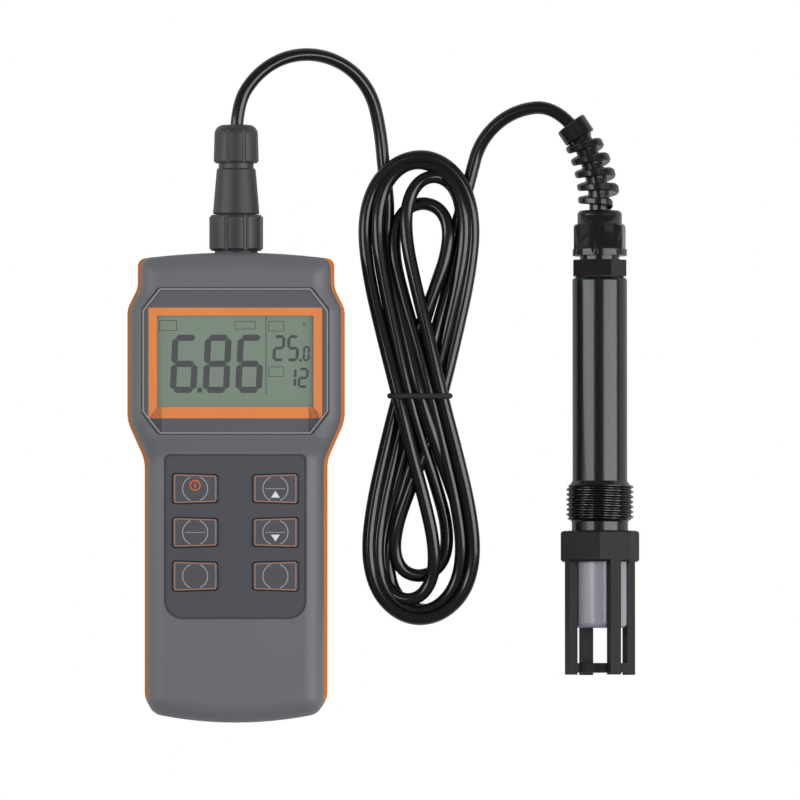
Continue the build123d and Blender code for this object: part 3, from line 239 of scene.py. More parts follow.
def glossy(name, colour, roughness=0.16, ripple=0.004):
    """A polished plastic. The ripple's depth is in millimetres."""
    finish = Finish(name, Coat_Weight=0.3, Coat_Roughness=0.06, Specular_IOR_Level=0.3)
    ripples = finish.noise(RIPPLE_SCALE)
    finish.shade(finish.noise(SKIN_SCALE, detail=4), colour, dark=0.8, light=1.2)
    finish.set("Roughness", roughness + ripples * RIPPLE_SHEEN)
    finish.bump(ripples, ripple * MM)
    return finish.material


jacket_gloss = glossy("jacket_gloss", srgb(16, 16, 17))
probe_gloss = glossy("probe_gloss", srgb(17, 17, 19), roughness=0.2, ripple=0.003)
guard_black = moulded("guard_black", srgb(24, 24, 26), grain=0.3, depth=0.004, roughness=0.5,
                      Specular_IOR_Level=0.25)
print("black finishes", jacket_gloss.name, probe_gloss.name, guard_black.name)

# %% [markdown]
# ## Metal and clear plastic
# Turned and plated metal is all reflection, with a faint fine grain. The window and the glass
# bulb are see-through, which a low alpha gives without a slow glass shader.

# %% Metal and clear recipes
METAL_SCALE = 1400.0
METAL_SHEEN = 0.12
SCUFF_SCALE = 500.0
SCUFF_SHEEN = 0.05
CLEAR_ROUGHNESS = 0.05
ACRYLIC_IOR = 1.49


def metal(name, colour, roughness=0.3):
    finish = Finish(name, Metallic=1.0)
    fine = finish.noise(METAL_SCALE, detail=3)
    finish.shade(fine, colour, dark=0.85, light=1.1)
    finish.set("Roughness", roughness + fine * METAL_SHEEN)
    return finish.material


def clear(name, colour, alpha=0.05):
    finish = Finish(name, Alpha=alpha, IOR=ACRYLIC_IOR)
    scuff = finish.noise(SCUFF_SCALE, detail=4)
    finish.shade(scuff, colour, dark=0.96, light=1.0)
    finish.set("Roughness", CLEAR_ROUGHNESS + scuff * SCUFF_SHEEN)
    return finish.material


steel = metal("steel", srgb(190, 190, 192))
plated = metal("plated", srgb(214, 210, 196), roughness=0.22)
brass = metal("brass", srgb(206, 170, 92), roughness=0.25)
cell_sleeve = moulded("cell_sleeve", srgb(60, 90, 130), roughness=0.3, depth=0.003)
board_lacquer = moulded("board_lacquer", srgb(28, 86, 52), grain=0.8, depth=0.004, roughness=0.35)
chip_plastic = moulded("chip_plastic", srgb(44, 44, 46), grain=0.2, roughness=0.6)
junction = moulded("junction", srgb(224, 222, 212), grain=0.25, depth=0.03, roughness=0.8)
cap_plastic = moulded("cap_plastic", srgb(150, 150, 160), grain=0.6, depth=0.004, roughness=0.3,
                      Coat_Weight=0.3)
window_clear = clear("window_clear", srgb(235, 238, 240))
bulb_glass = clear("bulb_glass", srgb(226, 232, 236), alpha=0.35)
lcd_glass = moulded("lcd_glass", srgb(118, 139, 117), grain=0.3, depth=0.001, roughness=0.3)
print("finishes so far", len(bpy.data.materials))

# %% [markdown]
# ## A finish for every node
# The record names a material slot for each CAD node, and each slot has one finish here. The
# guard shares the probe's slot, but it has its own duller black.

# %% Finishes on the nodes
materials = {
    "case_grey": case_plastic, "band_orange": orange_plastic, "window_clear": window_clear,
    "bezel_grey": moulded("bezel_grey", srgb(88, 88, 92), grain=0.2, depth=0.002, roughness=0.35),
    "frame_orange": moulded("frame_orange", ORANGE, grain=0.2, depth=0.002, roughness=0.35),
    "lcd": lcd_glass, "inner_white": inner_plastic, "inner_black": inner_dark,
    "circuit": board_lacquer, "chips": chip_plastic, "panel_grey": panel_film,
    "key_grey": key_plastic, "rubber_black": rubber_dark, "rubber_grey": rubber_pale,
    "contact_metal": plated, "screw_steel": steel, "cell_can": cell_sleeve,
    "plug_black": plug_plastic, "pin_brass": brass, "cable_black": jacket_gloss,
    "probe_black": probe_gloss, "cap_grey": cap_plastic, "bulb_glass": bulb_glass,
    "steel_pin": steel, "junction_white": junction,
}
node_slots = {s["node"]: s["material_slot"] for s in frame["record"]["subparts"]}
for name, node in nodes.items():
    node.data.materials.clear()
    node.data.materials.append(guard_black if name == "guard_cage" else materials[node_slots[name]])
print("slots with a finish", len(materials))

# %% [markdown]
# ## Small helpers for new pieces
# A finished piece sits at the origin with its place in its mesh, so its vertices are made where
# they belong. The first helper links the piece, gives it its finish and lets it ride on a body.
# The second welds doubles, turns the faces outwards and shades them smooth up to a sharp edge.

# %% Piece helpers
WELD = 1e-6
SHARP_ANGLE = radians(24)


def new_piece(name, mesh, material, body="instrument"):
    piece = bpy.data.objects.new(name, mesh)
    bpy.context.scene.collection.objects.link(piece)
    mesh.materials.clear()
    mesh.materials.append(material)
    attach(piece, body)
    return piece


def mesh_of(name, build):
    """A mesh from a function that fills a bmesh."""
    made = bmesh.new()
    build(made)
    bmesh.ops.remove_doubles(made, verts=made.verts, dist=WELD)
    bmesh.ops.recalc_face_normals(made, faces=made.faces)
    mesh = bpy.data.meshes.new(name)
    made.to_mesh(mesh)
    made.free()
    mesh.polygons.foreach_set("use_smooth", [True] * len(mesh.polygons))
    mesh.set_sharp_from_angle(angle=SHARP_ANGLE)
    return mesh


# %% [markdown]
# ## The cable's tied middle
# One cable runs from the plug to the probe, and its spare length is tied in the middle in a
# figure of eight. Each loop is two quarter lobes that leave the tie, swing out to the side and
# close at the far end. A strand has its own place at the tie and its own heights in each lobe,
# which spreads the strands out. It doesn't keep them apart: along about three quarters of the
# cable, another strand's centre line is nearer than one diameter, so the strands cut into one
# another there.

# %% The hank's shape
CABLE_MM = 4.7
CABLE = CABLE_MM * MM
TIE_Y = 396
TIE_STRANDS = (398, 409, 420, 431, 442)
TIE_HEIGHT = 4.2
TIE_STAGGER = 1.6
LOWEST = 2.45
LOBE_STEP = 15
SHOULDER = 0.35
# in pixels: right side, left side, centre, far end. In millimetres: the heights of the right side,
# the far end and the left side
LOOPS = {
    "top_1": (475, 363, 421, 153.5, 5.0, 7.4, 4.6),
    "top_2": (466, 376, 418, 160.0, 6.6, 5.6, 6.4),
    "top_3": (461, 406, 434, 174.0, 2.6, 6.2, 8.6),
    "top_4": (446, 394, 423, 201.0, 6.8, 3.2, 5.2),
    "low_1": (475.5, 367, 420, 621.5, 7.2, 7.2, 7.2),
    "low_2": (463, 376, 419, 614.0, 6.2, 4.8, 5.5),
    "low_3": (434, 382, 408, 602.0, 9.0, 6.6, 2.4),
    "low_4": (447, 397, 419, 578.0, 3.0, 3.2, 5.8),
    "low_5": (470, 388, 425, 613.0, 2.4, 2.4, 2.4),
}


def tie_height(strand, over):
    """A strand's height at the tie. Every other strand is raised, and the upper layer lies over."""
    stagger = 0 if strand % 2 else TIE_STAGGER
    layer = CABLE_MM if over else 0
    return TIE_HEIGHT + stagger + layer


def quarter_lobe(strand, over, side, centre, far, side_z, far_z, angles):
    """Points from the tie, at 0 degrees, to a lobe's far end, at 90 degrees."""
    points = []
    start_x, start_z = TIE_STRANDS[strand], tie_height(strand, over)
    half_way = 1 - SHOULDER / 4
    for angle in angles:
        swing = radians(angle)
        share = cos(swing) ** 2
        rise = sin(2 * swing)
        bulge = rise * (1 - SHOULDER * share * share) / half_way
        x = start_x * share + centre * (1 - share) + (side - (start_x + centre) / 2) * bulge
        y = TIE_Y + (far - TIE_Y) * sin(swing)
        z = start_z * share + far_z * (1 - share) + (side_z - (start_z + far_z) / 2) * rise
        points.append((*from_photo(x, y), max(LOWEST, z) * MM))
    return points


def loop(name, start, end, start_over):
    """A whole lobe, from its right side to its left."""
    right, left, centre, far, right_z, far_z, left_z = LOOPS[name]
    outward = range(0, 90, LOBE_STEP)
    inward = range(90, 0, -LOBE_STEP)
    out = quarter_lobe(start, start_over, right, centre, far, right_z, far_z, outward)
    back = quarter_lobe(end, not start_over, left, centre, far, left_z, far_z, inward)
    return out + back


print("lobes", len(LOOPS))

# %% [markdown]
# ## The cable's route
# The cable leaves the plug straight, comes down to the table and enters the hank by a quarter
# lobe. It takes nine lobes, leaves by another quarter lobe and rises to the bend protector. The
# lead and the tail are listed points. All of it is one smooth NURBS curve with a round bevel.

# %% The cable's route
LEAD = [(0, 124.4, 22), (0, 137.5, 22), (6.7, 148.7, 20.5), (17.0, 155.7, 16.5),
        (29.4, 157.0, 11.0), (40.9, 152.3, 6.0), (48.9, 142.8, 3.2), (52.0, 129.0, 2.4),
        (53.2, 115.5, 2.4)]
TAIL = [(84.3, 111.0, 2.4), (88.2, 126.0, 2.6), (99.95, 136.6, 5.3), (116.0, 138.25, 8.4),
        (131.4, 117.66, 9.2), (131.4, 92.4, 10.1)]
WAY_IN = {"strand": 2, "over": True, "side": 386, "centre": 421, "far": 175,
          "side_z": 2.4, "far_z": 2.6, "angles": range(60, 0, -LOBE_STEP)}
WAY_OUT = {"strand": 1, "over": False, "side": 452, "centre": 458, "far": 176,
           "side_z": 2.4, "far_z": 2.4, "angles": range(0, 75, LOBE_STEP)}
# each lobe with the strands that it starts and ends on
TURNS_OF_HANK = [("low_5", 2, 3), ("top_2", 3, 1), ("low_4", 1, 4), ("top_1", 4, 0), ("low_3", 0, 2),
                 ("top_3", 2, 4), ("low_1", 4, 0), ("top_4", 0, 3), ("low_2", 3, 1)]

route = [tuple(v * MM for v in point) for point in LEAD]
route += quarter_lobe(**WAY_IN)
for name, start, end in TURNS_OF_HANK:
    route += loop(name, start, end, name.startswith("low"))
route += quarter_lobe(**WAY_OUT)
route += [tuple(v * MM for v in point) for point in TAIL]

cable_data = bpy.data.curves.new("cable", "CURVE")
cable_data.dimensions = "3D"
spline = cable_data.splines.new("NURBS")
spline.points.add(len(route) - 1)
for point, place in zip(spline.points, route):
    point.co = (*place, 1.0)
spline.order_u = 3
spline.use_endpoint_u = True
spline.resolution_u = 10
cable_data.bevel_depth = CABLE / 2
cable_data.bevel_resolution = 6
cable_data.use_fill_caps = True
cable_data.materials.append(jacket_gloss)
cable = bpy.data.objects.new("cable", cable_data)
bpy.context.scene.collection.objects.link(cable)
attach(cable, "instrument")
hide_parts("cable_lead", "cable_hank", "cable_tail")
print("cable control points", len(route))

# %% [markdown]
# ## The tie
# A rubber ring holds the hank where its strands cross. It is a round wire along a rounded
# rectangle, as large as the CAD's tie, and it stands across the cable.

# %% Tie round the hank
tie_low, tie_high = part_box("cable_tie")
TIE_WIRE = 1.0 * MM
TIE_CORNER = 2.4 * MM
TIE_SIDES = 16
CORNER_STEPS = 8
ALONG_HANK = Vector((0, 1, 0))


def rounded_loop(width, height, corner):
    """A rounded rectangle's points about its own centre."""
    points = []
    for quarter in range(4):
        sx = 1 if quarter in (0, 3) else -1
        sz = 1 if quarter in (0, 1) else -1
        for step in range(CORNER_STEPS + 1):
            angle = quarter * pi / 2 + step * pi / 2 / CORNER_STEPS
            points.append((sx * (width / 2 - corner) + corner * cos(angle),
                           sz * (height / 2 - corner) + corner * sin(angle)))
    return points


def build_tie(made):
    centre = (tie_low + tie_high) / 2
    width = tie_high.x - tie_low.x - 2 * TIE_WIRE
    height = tie_high.z - tie_low.z - 2 * TIE_WIRE
    outline = rounded_loop(width, height, TIE_CORNER)
    rings = []
    for index, (x, z) in enumerate(outline):
        before, after = outline[index - 1], outline[(index + 1) % len(outline)]
        way = Vector((after[0] - before[0], 0, after[1] - before[1])).normalized()
        side = way.cross(ALONG_HANK)
        ring = []
        for step in range(TIE_SIDES):
            angle = 2 * pi * step / TIE_SIDES
            offset = side * cos(angle) * TIE_WIRE + ALONG_HANK * sin(angle) * TIE_WIRE
            ring.append(made.verts.new(centre + Vector((x, 0, z)) + offset))
        rings.append(ring)
    for first, second in zip(rings, rings[1:] + rings[:1]):
        for step in range(TIE_SIDES):
            after = (step + 1) % TIE_SIDES
            made.faces.new((first[step], first[after], second[after], second[step]))


cable_tie = new_piece("rubber_tie", mesh_of("rubber_tie", build_tie), rubber_dark)
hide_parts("cable_tie")
print("tie faces", len(cable_tie.data.polygons))

# %% [markdown]
# ## Prints and painted highlights
# Prints and painted highlights are thin skins that stand a hair above the face they are on. Two
# helpers make them: one fills an outline, and one draws an outline as a band of even width.

# %% Helpers for prints and painted highlights
SKIN = 0.03 * MM
SHARPEST_MITRE = 0.4


def fill(made, outline, z):
    """One flat face inside an outline."""
    made.faces.new([made.verts.new((x, y, z)) for x, y in outline])


def band(made, outline, width, z, closed=True):
    """A flat band of even width along an outline."""
    count = len(outline)
    rows = []
    for index, (x, y) in enumerate(outline):
        before = outline[index - 1] if closed or index else outline[index]
        after = outline[(index + 1) % count] if closed or index < count - 1 else outline[index]
        first = Vector((x - before[0], y - before[1])).normalized()
        second = Vector((after[0] - x, after[1] - y)).normalized()
        way = (first + second).normalized()
        side = Vector((-way.y, way.x))
        reach = width / 2
        if second.length:
            reach /= max(SHARPEST_MITRE, side.dot(Vector((-second.y, second.x))))
        rows.append([made.verts.new((x + side.x * reach, y + side.y * reach, z)),
                     made.verts.new((x - side.x * reach, y - side.y * reach, z))])
    pairs = zip(rows, rows[1:] + rows[:1]) if closed else zip(rows, rows[1:])
    for one, two in pairs:
        made.faces.new((one[0], one[1], two[1], two[0]))


def facing_up(made):
    for face in made.faces:
        face.normal_update()
        if face.normal.z < 0:
            face.normal_flip()


def print_or_highlight_skin(name, build, material, body="instrument"):
    """A flat print or painted highlight from a function that fills a bmesh, its faces turned up."""
    made = bmesh.new()
    build(made)
    facing_up(made)
    mesh = bpy.data.meshes.new(name)
    made.to_mesh(mesh)
    made.free()
    return new_piece(name, mesh, material, body)


def arc(centre, radius, low, high, steps=20):
    """Points along an arc, from a low to a high angle in degrees."""
    points = []
    for step in range(steps + 1):
        angle = radians(low + (high - low) * step / steps)
        points.append((centre[0] + radius * cos(angle), centre[1] + radius * sin(angle)))
    return points


def box_outline(left, top, right, low):
    """The corners of a box of the photograph's pixels."""
    corners = ((left, top), (right, top), (right, low), (left, low))
    return [from_photo(x, y) for x, y in corners]


# %% [markdown]
# ## The display
# The digits are up to seven slanted bars each, with pointed ends. They lie a little above the
# panel, with a few empty boxes where such a display has its symbols, a line between the main
# reading and the small ones, and a degree ring.

# %% Display digits
SEGMENTS = {"0": "abcdef", "1": "bc", "2": "abged", "5": "afgcd", "6": "afgedc", "8": "abcdefg"}
BAR_ENDS = {"a": (0, 0, 1, 0), "b": (1, 0, 1, 0.5), "c": (1, 0.5, 1, 1), "d": (0, 1, 1, 1),
            "e": (0, 0.5, 0, 1), "f": (0, 0, 0, 0.5), "g": (0, 0.5, 1, 0.5)}
SLANT = 0.05
BAR_GAP = 0.08
# each row of digits in pixels: its symbols with their left sides, then what they share
DIGIT_ROWS = (
    {"symbols": (("6", 171), ("8", 203.5), ("6", 236)), "top": 335, "low": 393, "width": 26.5, "bar": 6.2},
    {"symbols": (("2", 273), ("5", 287)), "top": 335.5, "low": 361.5, "width": 12, "bar": 3.0},
    {"symbols": (("0", 303),), "top": 346, "low": 361.5, "width": 7, "bar": 2.2},
    {"symbols": (("1", 286), ("2", 298)), "top": 368, "low": 388, "width": 10.5, "bar": 2.6},
)
# left, top, right and low pixels
DECIMAL_POINTS = ((198.6, 387.6, 203.2, 392.6), (299.8, 359.2, 302.2, 361.8))
SYMBOL_BOXES = ((161, 321, 178, 331), (269.5, 322, 284.5, 331.5), (269.5, 367, 284.5, 376.7),
                (236, 322, 256, 329.5))
SYMBOL_LINE = 0.22 * MM
DIVIDER_X, DIVIDER_TOP, DIVIDER_LOW = 266.8, 316.8, 394.5
DIVIDER_LINE = 0.3 * MM
DEGREE_X, DEGREE_Y = 305, 325
DEGREE_RADIUS = 0.5 * MM
DEGREE_ARC = (0, 345)
DEGREE_LINE = 0.2 * MM

print_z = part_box("lcd_panel")[1].z + SKIN
ink = moulded("display_ink", srgb(14, 17, 14), grain=0.2, depth=0.0005, roughness=0.45)


def digit(made, symbol, left, top, low, width, bar):
    """One digit in a box of photo pixels, its bars with pointed ends."""
    half = bar / 2
    gap = bar * BAR_GAP
    for name in SEGMENTS[symbol]:
        x1, y1, x2, y2 = BAR_ENDS[name]
        x1, x2 = (left + half + v * (width - bar) for v in (x1, x2))
        y1, y2 = (top + half + v * (low - top - bar) for v in (y1, y2))
        if y1 == y2:
            shape = [(x1 + gap, y1), (x1 + half, y1 - half), (x2 - half, y1 - half), (x2 - gap, y1),
                     (x2 - half, y1 + half), (x1 + half, y1 + half)]
        else:
            shape = [(x1, y1 + gap), (x1 + half, y1 + half), (x1 + half, y2 - half), (x1, y2 - gap),
                     (x1 - half, y2 - half), (x1 - half, y1 + half)]
        fill(made, [from_photo(x + (low - y) * SLANT, y) for x, y in shape], print_z)


def build_display(made):
    for row in DIGIT_ROWS:
        for symbol, left in row["symbols"]:
            digit(made, symbol, left, row["top"], row["low"], row["width"], row["bar"])
    for corners in DECIMAL_POINTS:
        fill(made, box_outline(*corners), print_z)
    for corners in SYMBOL_BOXES:
        band(made, box_outline(*corners), SYMBOL_LINE, print_z)
    divider = [from_photo(DIVIDER_X, DIVIDER_TOP), from_photo(DIVIDER_X, DIVIDER_LOW)]
    band(made, divider, DIVIDER_LINE, print_z, closed=False)
    degree = arc(from_photo(DEGREE_X, DEGREE_Y), DEGREE_RADIUS, *DEGREE_ARC)
    band(made, degree, DEGREE_LINE, print_z)


display = print_or_highlight_skin("display_digits", build_display, ink)
print("display faces", len(display.data.polygons))

# %% [markdown]
# ## The keypad's painted highlights and prints
# Each key has a fine tan outline, a painted highlight along its edge, and a silver ring in two arcs,
# a painted highlight of its domed face. The power key has an orange mark, and two keys have a white
# arrow. Each of these skins rides on its own key, so it moves when the key is pressed.

# %% Key highlights and prints
KEYS = ("key_power", "key_up", "key_calibrate", "key_down", "key_mode", "key_enter")
KEY_EDGE_X, KEY_EDGE_Y = 7.3 * MM, 4.9 * MM
KEY_TAPER = 0.45 * MM
KEY_LINE = 0.3 * MM
RING_RADIUS = 4.5 * MM
RING_ARCS = ((112, 248), (-68, 68))
DASHED_KEYS = ("key_calibrate", "key_down", "key_up")
DASH_HALF = 3.6 * MM
DASH_LINE = 0.2 * MM
ARROW_WAYS = {"key_up": 1, "key_down": -1}
ARROW_DROP = 2.0 * MM
ARROW_HALF_HEIGHT = 1.2 * MM
ARROW_HALF_WIDTH = 1.6 * MM
MARK_RISE = 1.2 * MM
MARK_RADIUS = 1.75 * MM
MARK_ARC, MARK_STEPS = (0, 355), 32
MARK_STROKE = 0.9 * MM
MARK_LINE = 0.5 * MM

# The tan outline is a painted highlight along each key's edge.
painted_edge_highlight = moulded("key_edge_highlight", srgb(190, 132, 96), grain=0.2, depth=0.0005, roughness=0.45)
# Painted highlights: the silver arcs on the keys and the line round the window. The dashes on three keys
# share this finish.
silver_highlight_and_dash = moulded("silver_highlight_and_dash_finish", srgb(176, 176, 180), grain=0.2, depth=0.0005, roughness=0.35)
white_print = moulded("key_arrow", srgb(236, 236, 238), grain=0.2, depth=0.0005, roughness=0.4)
orange_print = moulded("key_spot", srgb(226, 104, 40), grain=0.2, depth=0.0005, roughness=0.4)


def key_prints_and_highlights(name):
    """The outline and the ring, painted highlights of the key's edge and domed face, and the marks of one
    key.
    """
    low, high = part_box(name)
    x, y, z = (low.x + high.x) / 2, (low.y + high.y) / 2, high.z + SKIN
    outer = 1 if x > 0 else -1

    # A painted highlight along the key's edge.
    def outline(made):
        corners = [(outer * KEY_EDGE_X, KEY_EDGE_Y), (-outer * KEY_EDGE_X, KEY_EDGE_Y - KEY_TAPER),
                   (-outer * KEY_EDGE_X, KEY_TAPER - KEY_EDGE_Y), (outer * KEY_EDGE_X, -KEY_EDGE_Y)]
        band(made, [(x + across, y + up) for across, up in corners], KEY_LINE, z)

    # A painted highlight of the key's domed face, in two arcs, with a dash on some keys.
    def ring(made):
        for start, end in RING_ARCS:
            band(made, arc((x, y), RING_RADIUS, start, end), KEY_LINE, z, closed=False)
        if name in DASHED_KEYS:
            band(made, [(x - DASH_HALF, y), (x + DASH_HALF, y)], DASH_LINE, z, closed=False)

    def arrow(made):
        reach = ARROW_WAYS[name] * ARROW_HALF_HEIGHT
        tip = (x, y - ARROW_DROP + reach)
        base_y = y - ARROW_DROP - reach
        fill(made, [tip, (x - ARROW_HALF_WIDTH, base_y), (x + ARROW_HALF_WIDTH, base_y)], z)

    def power_mark(made):
        spot_y = y + MARK_RISE
        stroke = [(x, spot_y - MARK_STROKE), (x, spot_y + MARK_STROKE)]
        band(made, arc((x, spot_y), MARK_RADIUS, *MARK_ARC, MARK_STEPS), MARK_LINE, z)
        band(made, stroke, MARK_LINE, z, closed=False)

    # The outline and the ring are painted highlights; the arrows and the power mark are prints.
    print_or_highlight_skin(name + "_line", outline, painted_edge_highlight, name)
    print_or_highlight_skin(name + "_ring", ring, silver_highlight_and_dash, name)
    if name in ARROW_WAYS:
        print_or_highlight_skin(name + "_arrow", arrow, white_print, name)
    if name == "key_power":
        print_or_highlight_skin(name + "_mark", power_mark, orange_print, name)


for key in KEYS:
    key_prints_and_highlights(key)
print("printed keys", len(KEYS))

# %% [markdown]
# ## A line round the keypad and a painted highlight round the window
# The keypad's film has a dark line a little inside its edge, with small corners at the top and
# large ones at the foot. The window has a silver line, a painted highlight of its edge, that cuts
# its corners off, as its bezel does.

# %% A line round the keypad and a painted highlight round the window
panel_low, panel_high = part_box("keypad_panel")
window_low, window_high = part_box("display_window")
PANEL_INSET = 0.5 * MM
PANEL_CORNER = 1.6 * MM
PANEL_FOOT = 6 * MM
TOP_STEPS, FOOT_STEPS = 6, 10
PANEL_LINE = 0.25 * MM
WINDOW_INSET = 0.6 * MM
WINDOW_CUT_X, WINDOW_CUT_Y = 6.1 * MM, 7.8 * MM
WINDOW_LINE = 0.3 * MM


def build_panel_line(made):
    x = (panel_high.x - panel_low.x) / 2 - PANEL_INSET
    low_y, high_y = panel_low.y + PANEL_INSET, panel_high.y - PANEL_INSET
    outline = arc((x - PANEL_CORNER, high_y - PANEL_CORNER), PANEL_CORNER, 0, 90, TOP_STEPS)
    outline += arc((PANEL_CORNER - x, high_y - PANEL_CORNER), PANEL_CORNER, 90, 180, TOP_STEPS)
    outline += arc((PANEL_FOOT - x, low_y + PANEL_FOOT), PANEL_FOOT, 180, 270, FOOT_STEPS)
    outline += arc((x - PANEL_FOOT, low_y + PANEL_FOOT), PANEL_FOOT, 270, 360, FOOT_STEPS)
    band(made, outline, PANEL_LINE, panel_high.z + SKIN)


def build_window_edge_highlight(made):
    x = (window_high.x - window_low.x) / 2 - WINDOW_INSET
    y = (window_high.y - window_low.y) / 2 - WINDOW_INSET
    middle = (window_high.y + window_low.y) / 2
    in_x, in_y = x - WINDOW_CUT_X, y - WINDOW_CUT_Y
    corners = [(x, in_y), (in_x, y), (-in_x, y), (-x, in_y), (-x, -in_y), (-in_x, -y), (in_x, -y),
               (x, -in_y)]
    band(made, [(across, up + middle) for across, up in corners], WINDOW_LINE, window_high.z + SKIN)


panel_ink = moulded("panel_line", srgb(52, 52, 58), grain=0.2, depth=0.0005, roughness=0.4)
print_or_highlight_skin("keypad_line", build_panel_line, panel_ink)
# The window's silver line is a painted highlight of its edge.
print_or_highlight_skin("window_line", build_window_edge_highlight, silver_highlight_and_dash)
print("line heights", round(panel_high.z / MM, 2), round(window_high.z / MM, 2))

# %% [markdown]
# ## Along the probe's axis
# The probe leans a little, so its pieces are drawn along its own axis: `along` gives a place from
# a distance up the probe, a radius and an angle round it. `skin` joins rows of such places into a
# closed tube.

# %% Probe axis
TILT = radians(2.1538)
DOME_END = 168 * MM
DOME_PLACE = Vector((131.4 * MM, 100.081 * MM, 9.826 * MM))
PROBE_WAY = Vector((0, cos(TILT), -sin(TILT)))
PROBE_UP = Vector((0, sin(TILT), cos(TILT)))
SIDE = Vector((1, 0, 0))
BEND_RADIUS = 52.6 * MM
BEND = radians(37)


def along(distance, radius, angle):
    """A place round the probe's axis. Beyond the dome the axis bends to the left."""
    spare = distance - DOME_END
    if spare > 0:
        turned = spare / BEND_RADIUS
        up, left = BEND_RADIUS * sin(turned), BEND_RADIUS * (1 - cos(turned))
        place = DOME_PLACE + PROBE_WAY * up - SIDE * left
        across = SIDE * cos(turned) + PROBE_WAY * sin(turned)
    else:
        place = DOME_PLACE + PROBE_WAY * spare
        across = SIDE
    return place + (across * cos(angle) + PROBE_UP * sin(angle)) * radius


def even_row(distance, radius):
    """A row with the same radius all round."""
    return lambda angle: along(distance, radius, angle)


def skin(made, rows, steps):
    """A closed tube of rows, each a function that gives a place for an angle."""
    rings = [[made.verts.new(row(2 * pi * step / steps)) for step in range(steps)] for row in rows]
    for first, second in zip(rings, rings[1:] + rings[:1]):
        for step in range(steps):
            after = (step + 1) % steps
            made.faces.new((first[step], first[after], second[after], second[step]))


# %% [markdown]
# ## The adapter's thread
# The adapter's outside is a skin of revolution whose radius falls and rises once for each turn
# along the screw line. At both ends the thread runs out on a short chamfer. The CAD has a plain
# cylinder of the outer size in this place, which this piece replaces.

# %% Thread on the adapter
THREAD_PITCH = 1.81 * MM
THREAD_DEPTH = 0.95 * MM
THREAD_RADIUS = 12.15 * MM
THREAD_LOW, THREAD_HIGH = 55.9 * MM, 68.6 * MM
THREAD_ROWS = 120
THREAD_SIDES = 128
FLANK, CREST = 1.5, 0.3
LOW_CHAMFER, HIGH_CHAMFER = 0.6 * MM, 0.3 * MM
CHAMFER_DEPTH = 1.2 * MM
# distance up the probe and radius, in millimetres
BELOW_THREAD = ((44.6, 9.02), (44.6, 9.8), (45.0, 10.2), (55.2, 10.2), (55.8, 10.6))
ABOVE_THREAD = ((70.0, 9.95), (70.0, 9.02))


def thread_row(distance):
    """A row of the thread at a distance up the probe."""
    low_edge = (distance - THREAD_LOW) / LOW_CHAMFER
    high_edge = (THREAD_HIGH - distance) / HIGH_CHAMFER
    chamfer = (1 - min(1.0, low_edge, high_edge)) * CHAMFER_DEPTH

    def row(angle):
        phase = (distance / THREAD_PITCH - angle / (2 * pi)) % 1.0
        groove = THREAD_DEPTH * min(1.0, max(0.0, abs(phase * 2 - 1) * FLANK - CREST))
        return along(distance, THREAD_RADIUS - max(groove, chamfer), angle)

    return row


def build_adapter(made):
    rows = [even_row(distance * MM, radius * MM) for distance, radius in BELOW_THREAD]
    for index in range(THREAD_ROWS + 1):
        rows.append(thread_row(THREAD_LOW + (THREAD_HIGH - THREAD_LOW) * index / THREAD_ROWS))
    rows += [even_row(distance * MM, radius * MM) for distance, radius in ABOVE_THREAD]
    skin(made, rows, THREAD_SIDES)


adapter = new_piece("adapter_thread", mesh_of("adapter_thread", build_adapter), probe_gloss)
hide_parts("thread_adapter")
print("thread faces", len(adapter.data.polygons))

# %% [markdown]
# ## The spiral bend protector
# The bend protector is one rib wound round a thin sleeve. Its lower part, with the hexagon and
# the dome, is the CAD mesh cut at the dome's end. The rib is a small cross-section carried
# along a screw line on the bent axis. It grows out of the sleeve at both ends.

# %% Spiral bend protector
RIB_TURNS = 5
RIB_STEPS = 48
RIB_PITCH = 5.3 * MM
FIRST_TURN = 1.7 * MM
RIB_RADIUS = 7.8 * MM
RIB_SHRINK = 0.28 * MM
RIB_HALF = 1.4 * MM
RIB_CREST_HALF = 0.85 * MM
RIB_EDGE = 0.5 * MM
RIB_ROOT = 0.4 * MM
RIB_START = 0.1
RIB_GROWTH = 4
SLEEVE = 3.75 * MM
SLEEVE_BORE = 2.9 * MM
SLEEVE_SUNK = 1 * MM
SLEEVE_STEP = 1.5 * MM
SLEEVE_SIDES = 48
END_RING = 6.4 * MM
END_RING_RADIUS = 5.8 * MM
RING_LOW_BEVEL, RING_HIGH_BEVEL = 0.4 * MM, 0.5 * MM
CUT_BELOW_DOME = 0.05 * MM


def rib_section(theta):
    """The rib's cross-section at an angle along its screw line."""
    turn = theta / (2 * pi)
    grown = min(1.0, RIB_START + turn * RIB_GROWTH, RIB_START + (RIB_TURNS - turn) * RIB_GROWTH)
    outer = SLEEVE + (RIB_RADIUS - RIB_SHRINK * turn - SLEEVE) * grown
    middle = DOME_END + FIRST_TURN + RIB_PITCH * turn
    root = SLEEVE - RIB_ROOT
    shape = [(-RIB_HALF, root), (-RIB_HALF, outer - RIB_EDGE), (-RIB_CREST_HALF, outer),
             (RIB_CREST_HALF, outer), (RIB_HALF, outer - RIB_EDGE), (RIB_HALF, root)]
    return [along(middle + shift, radius, theta) for shift, radius in shape]


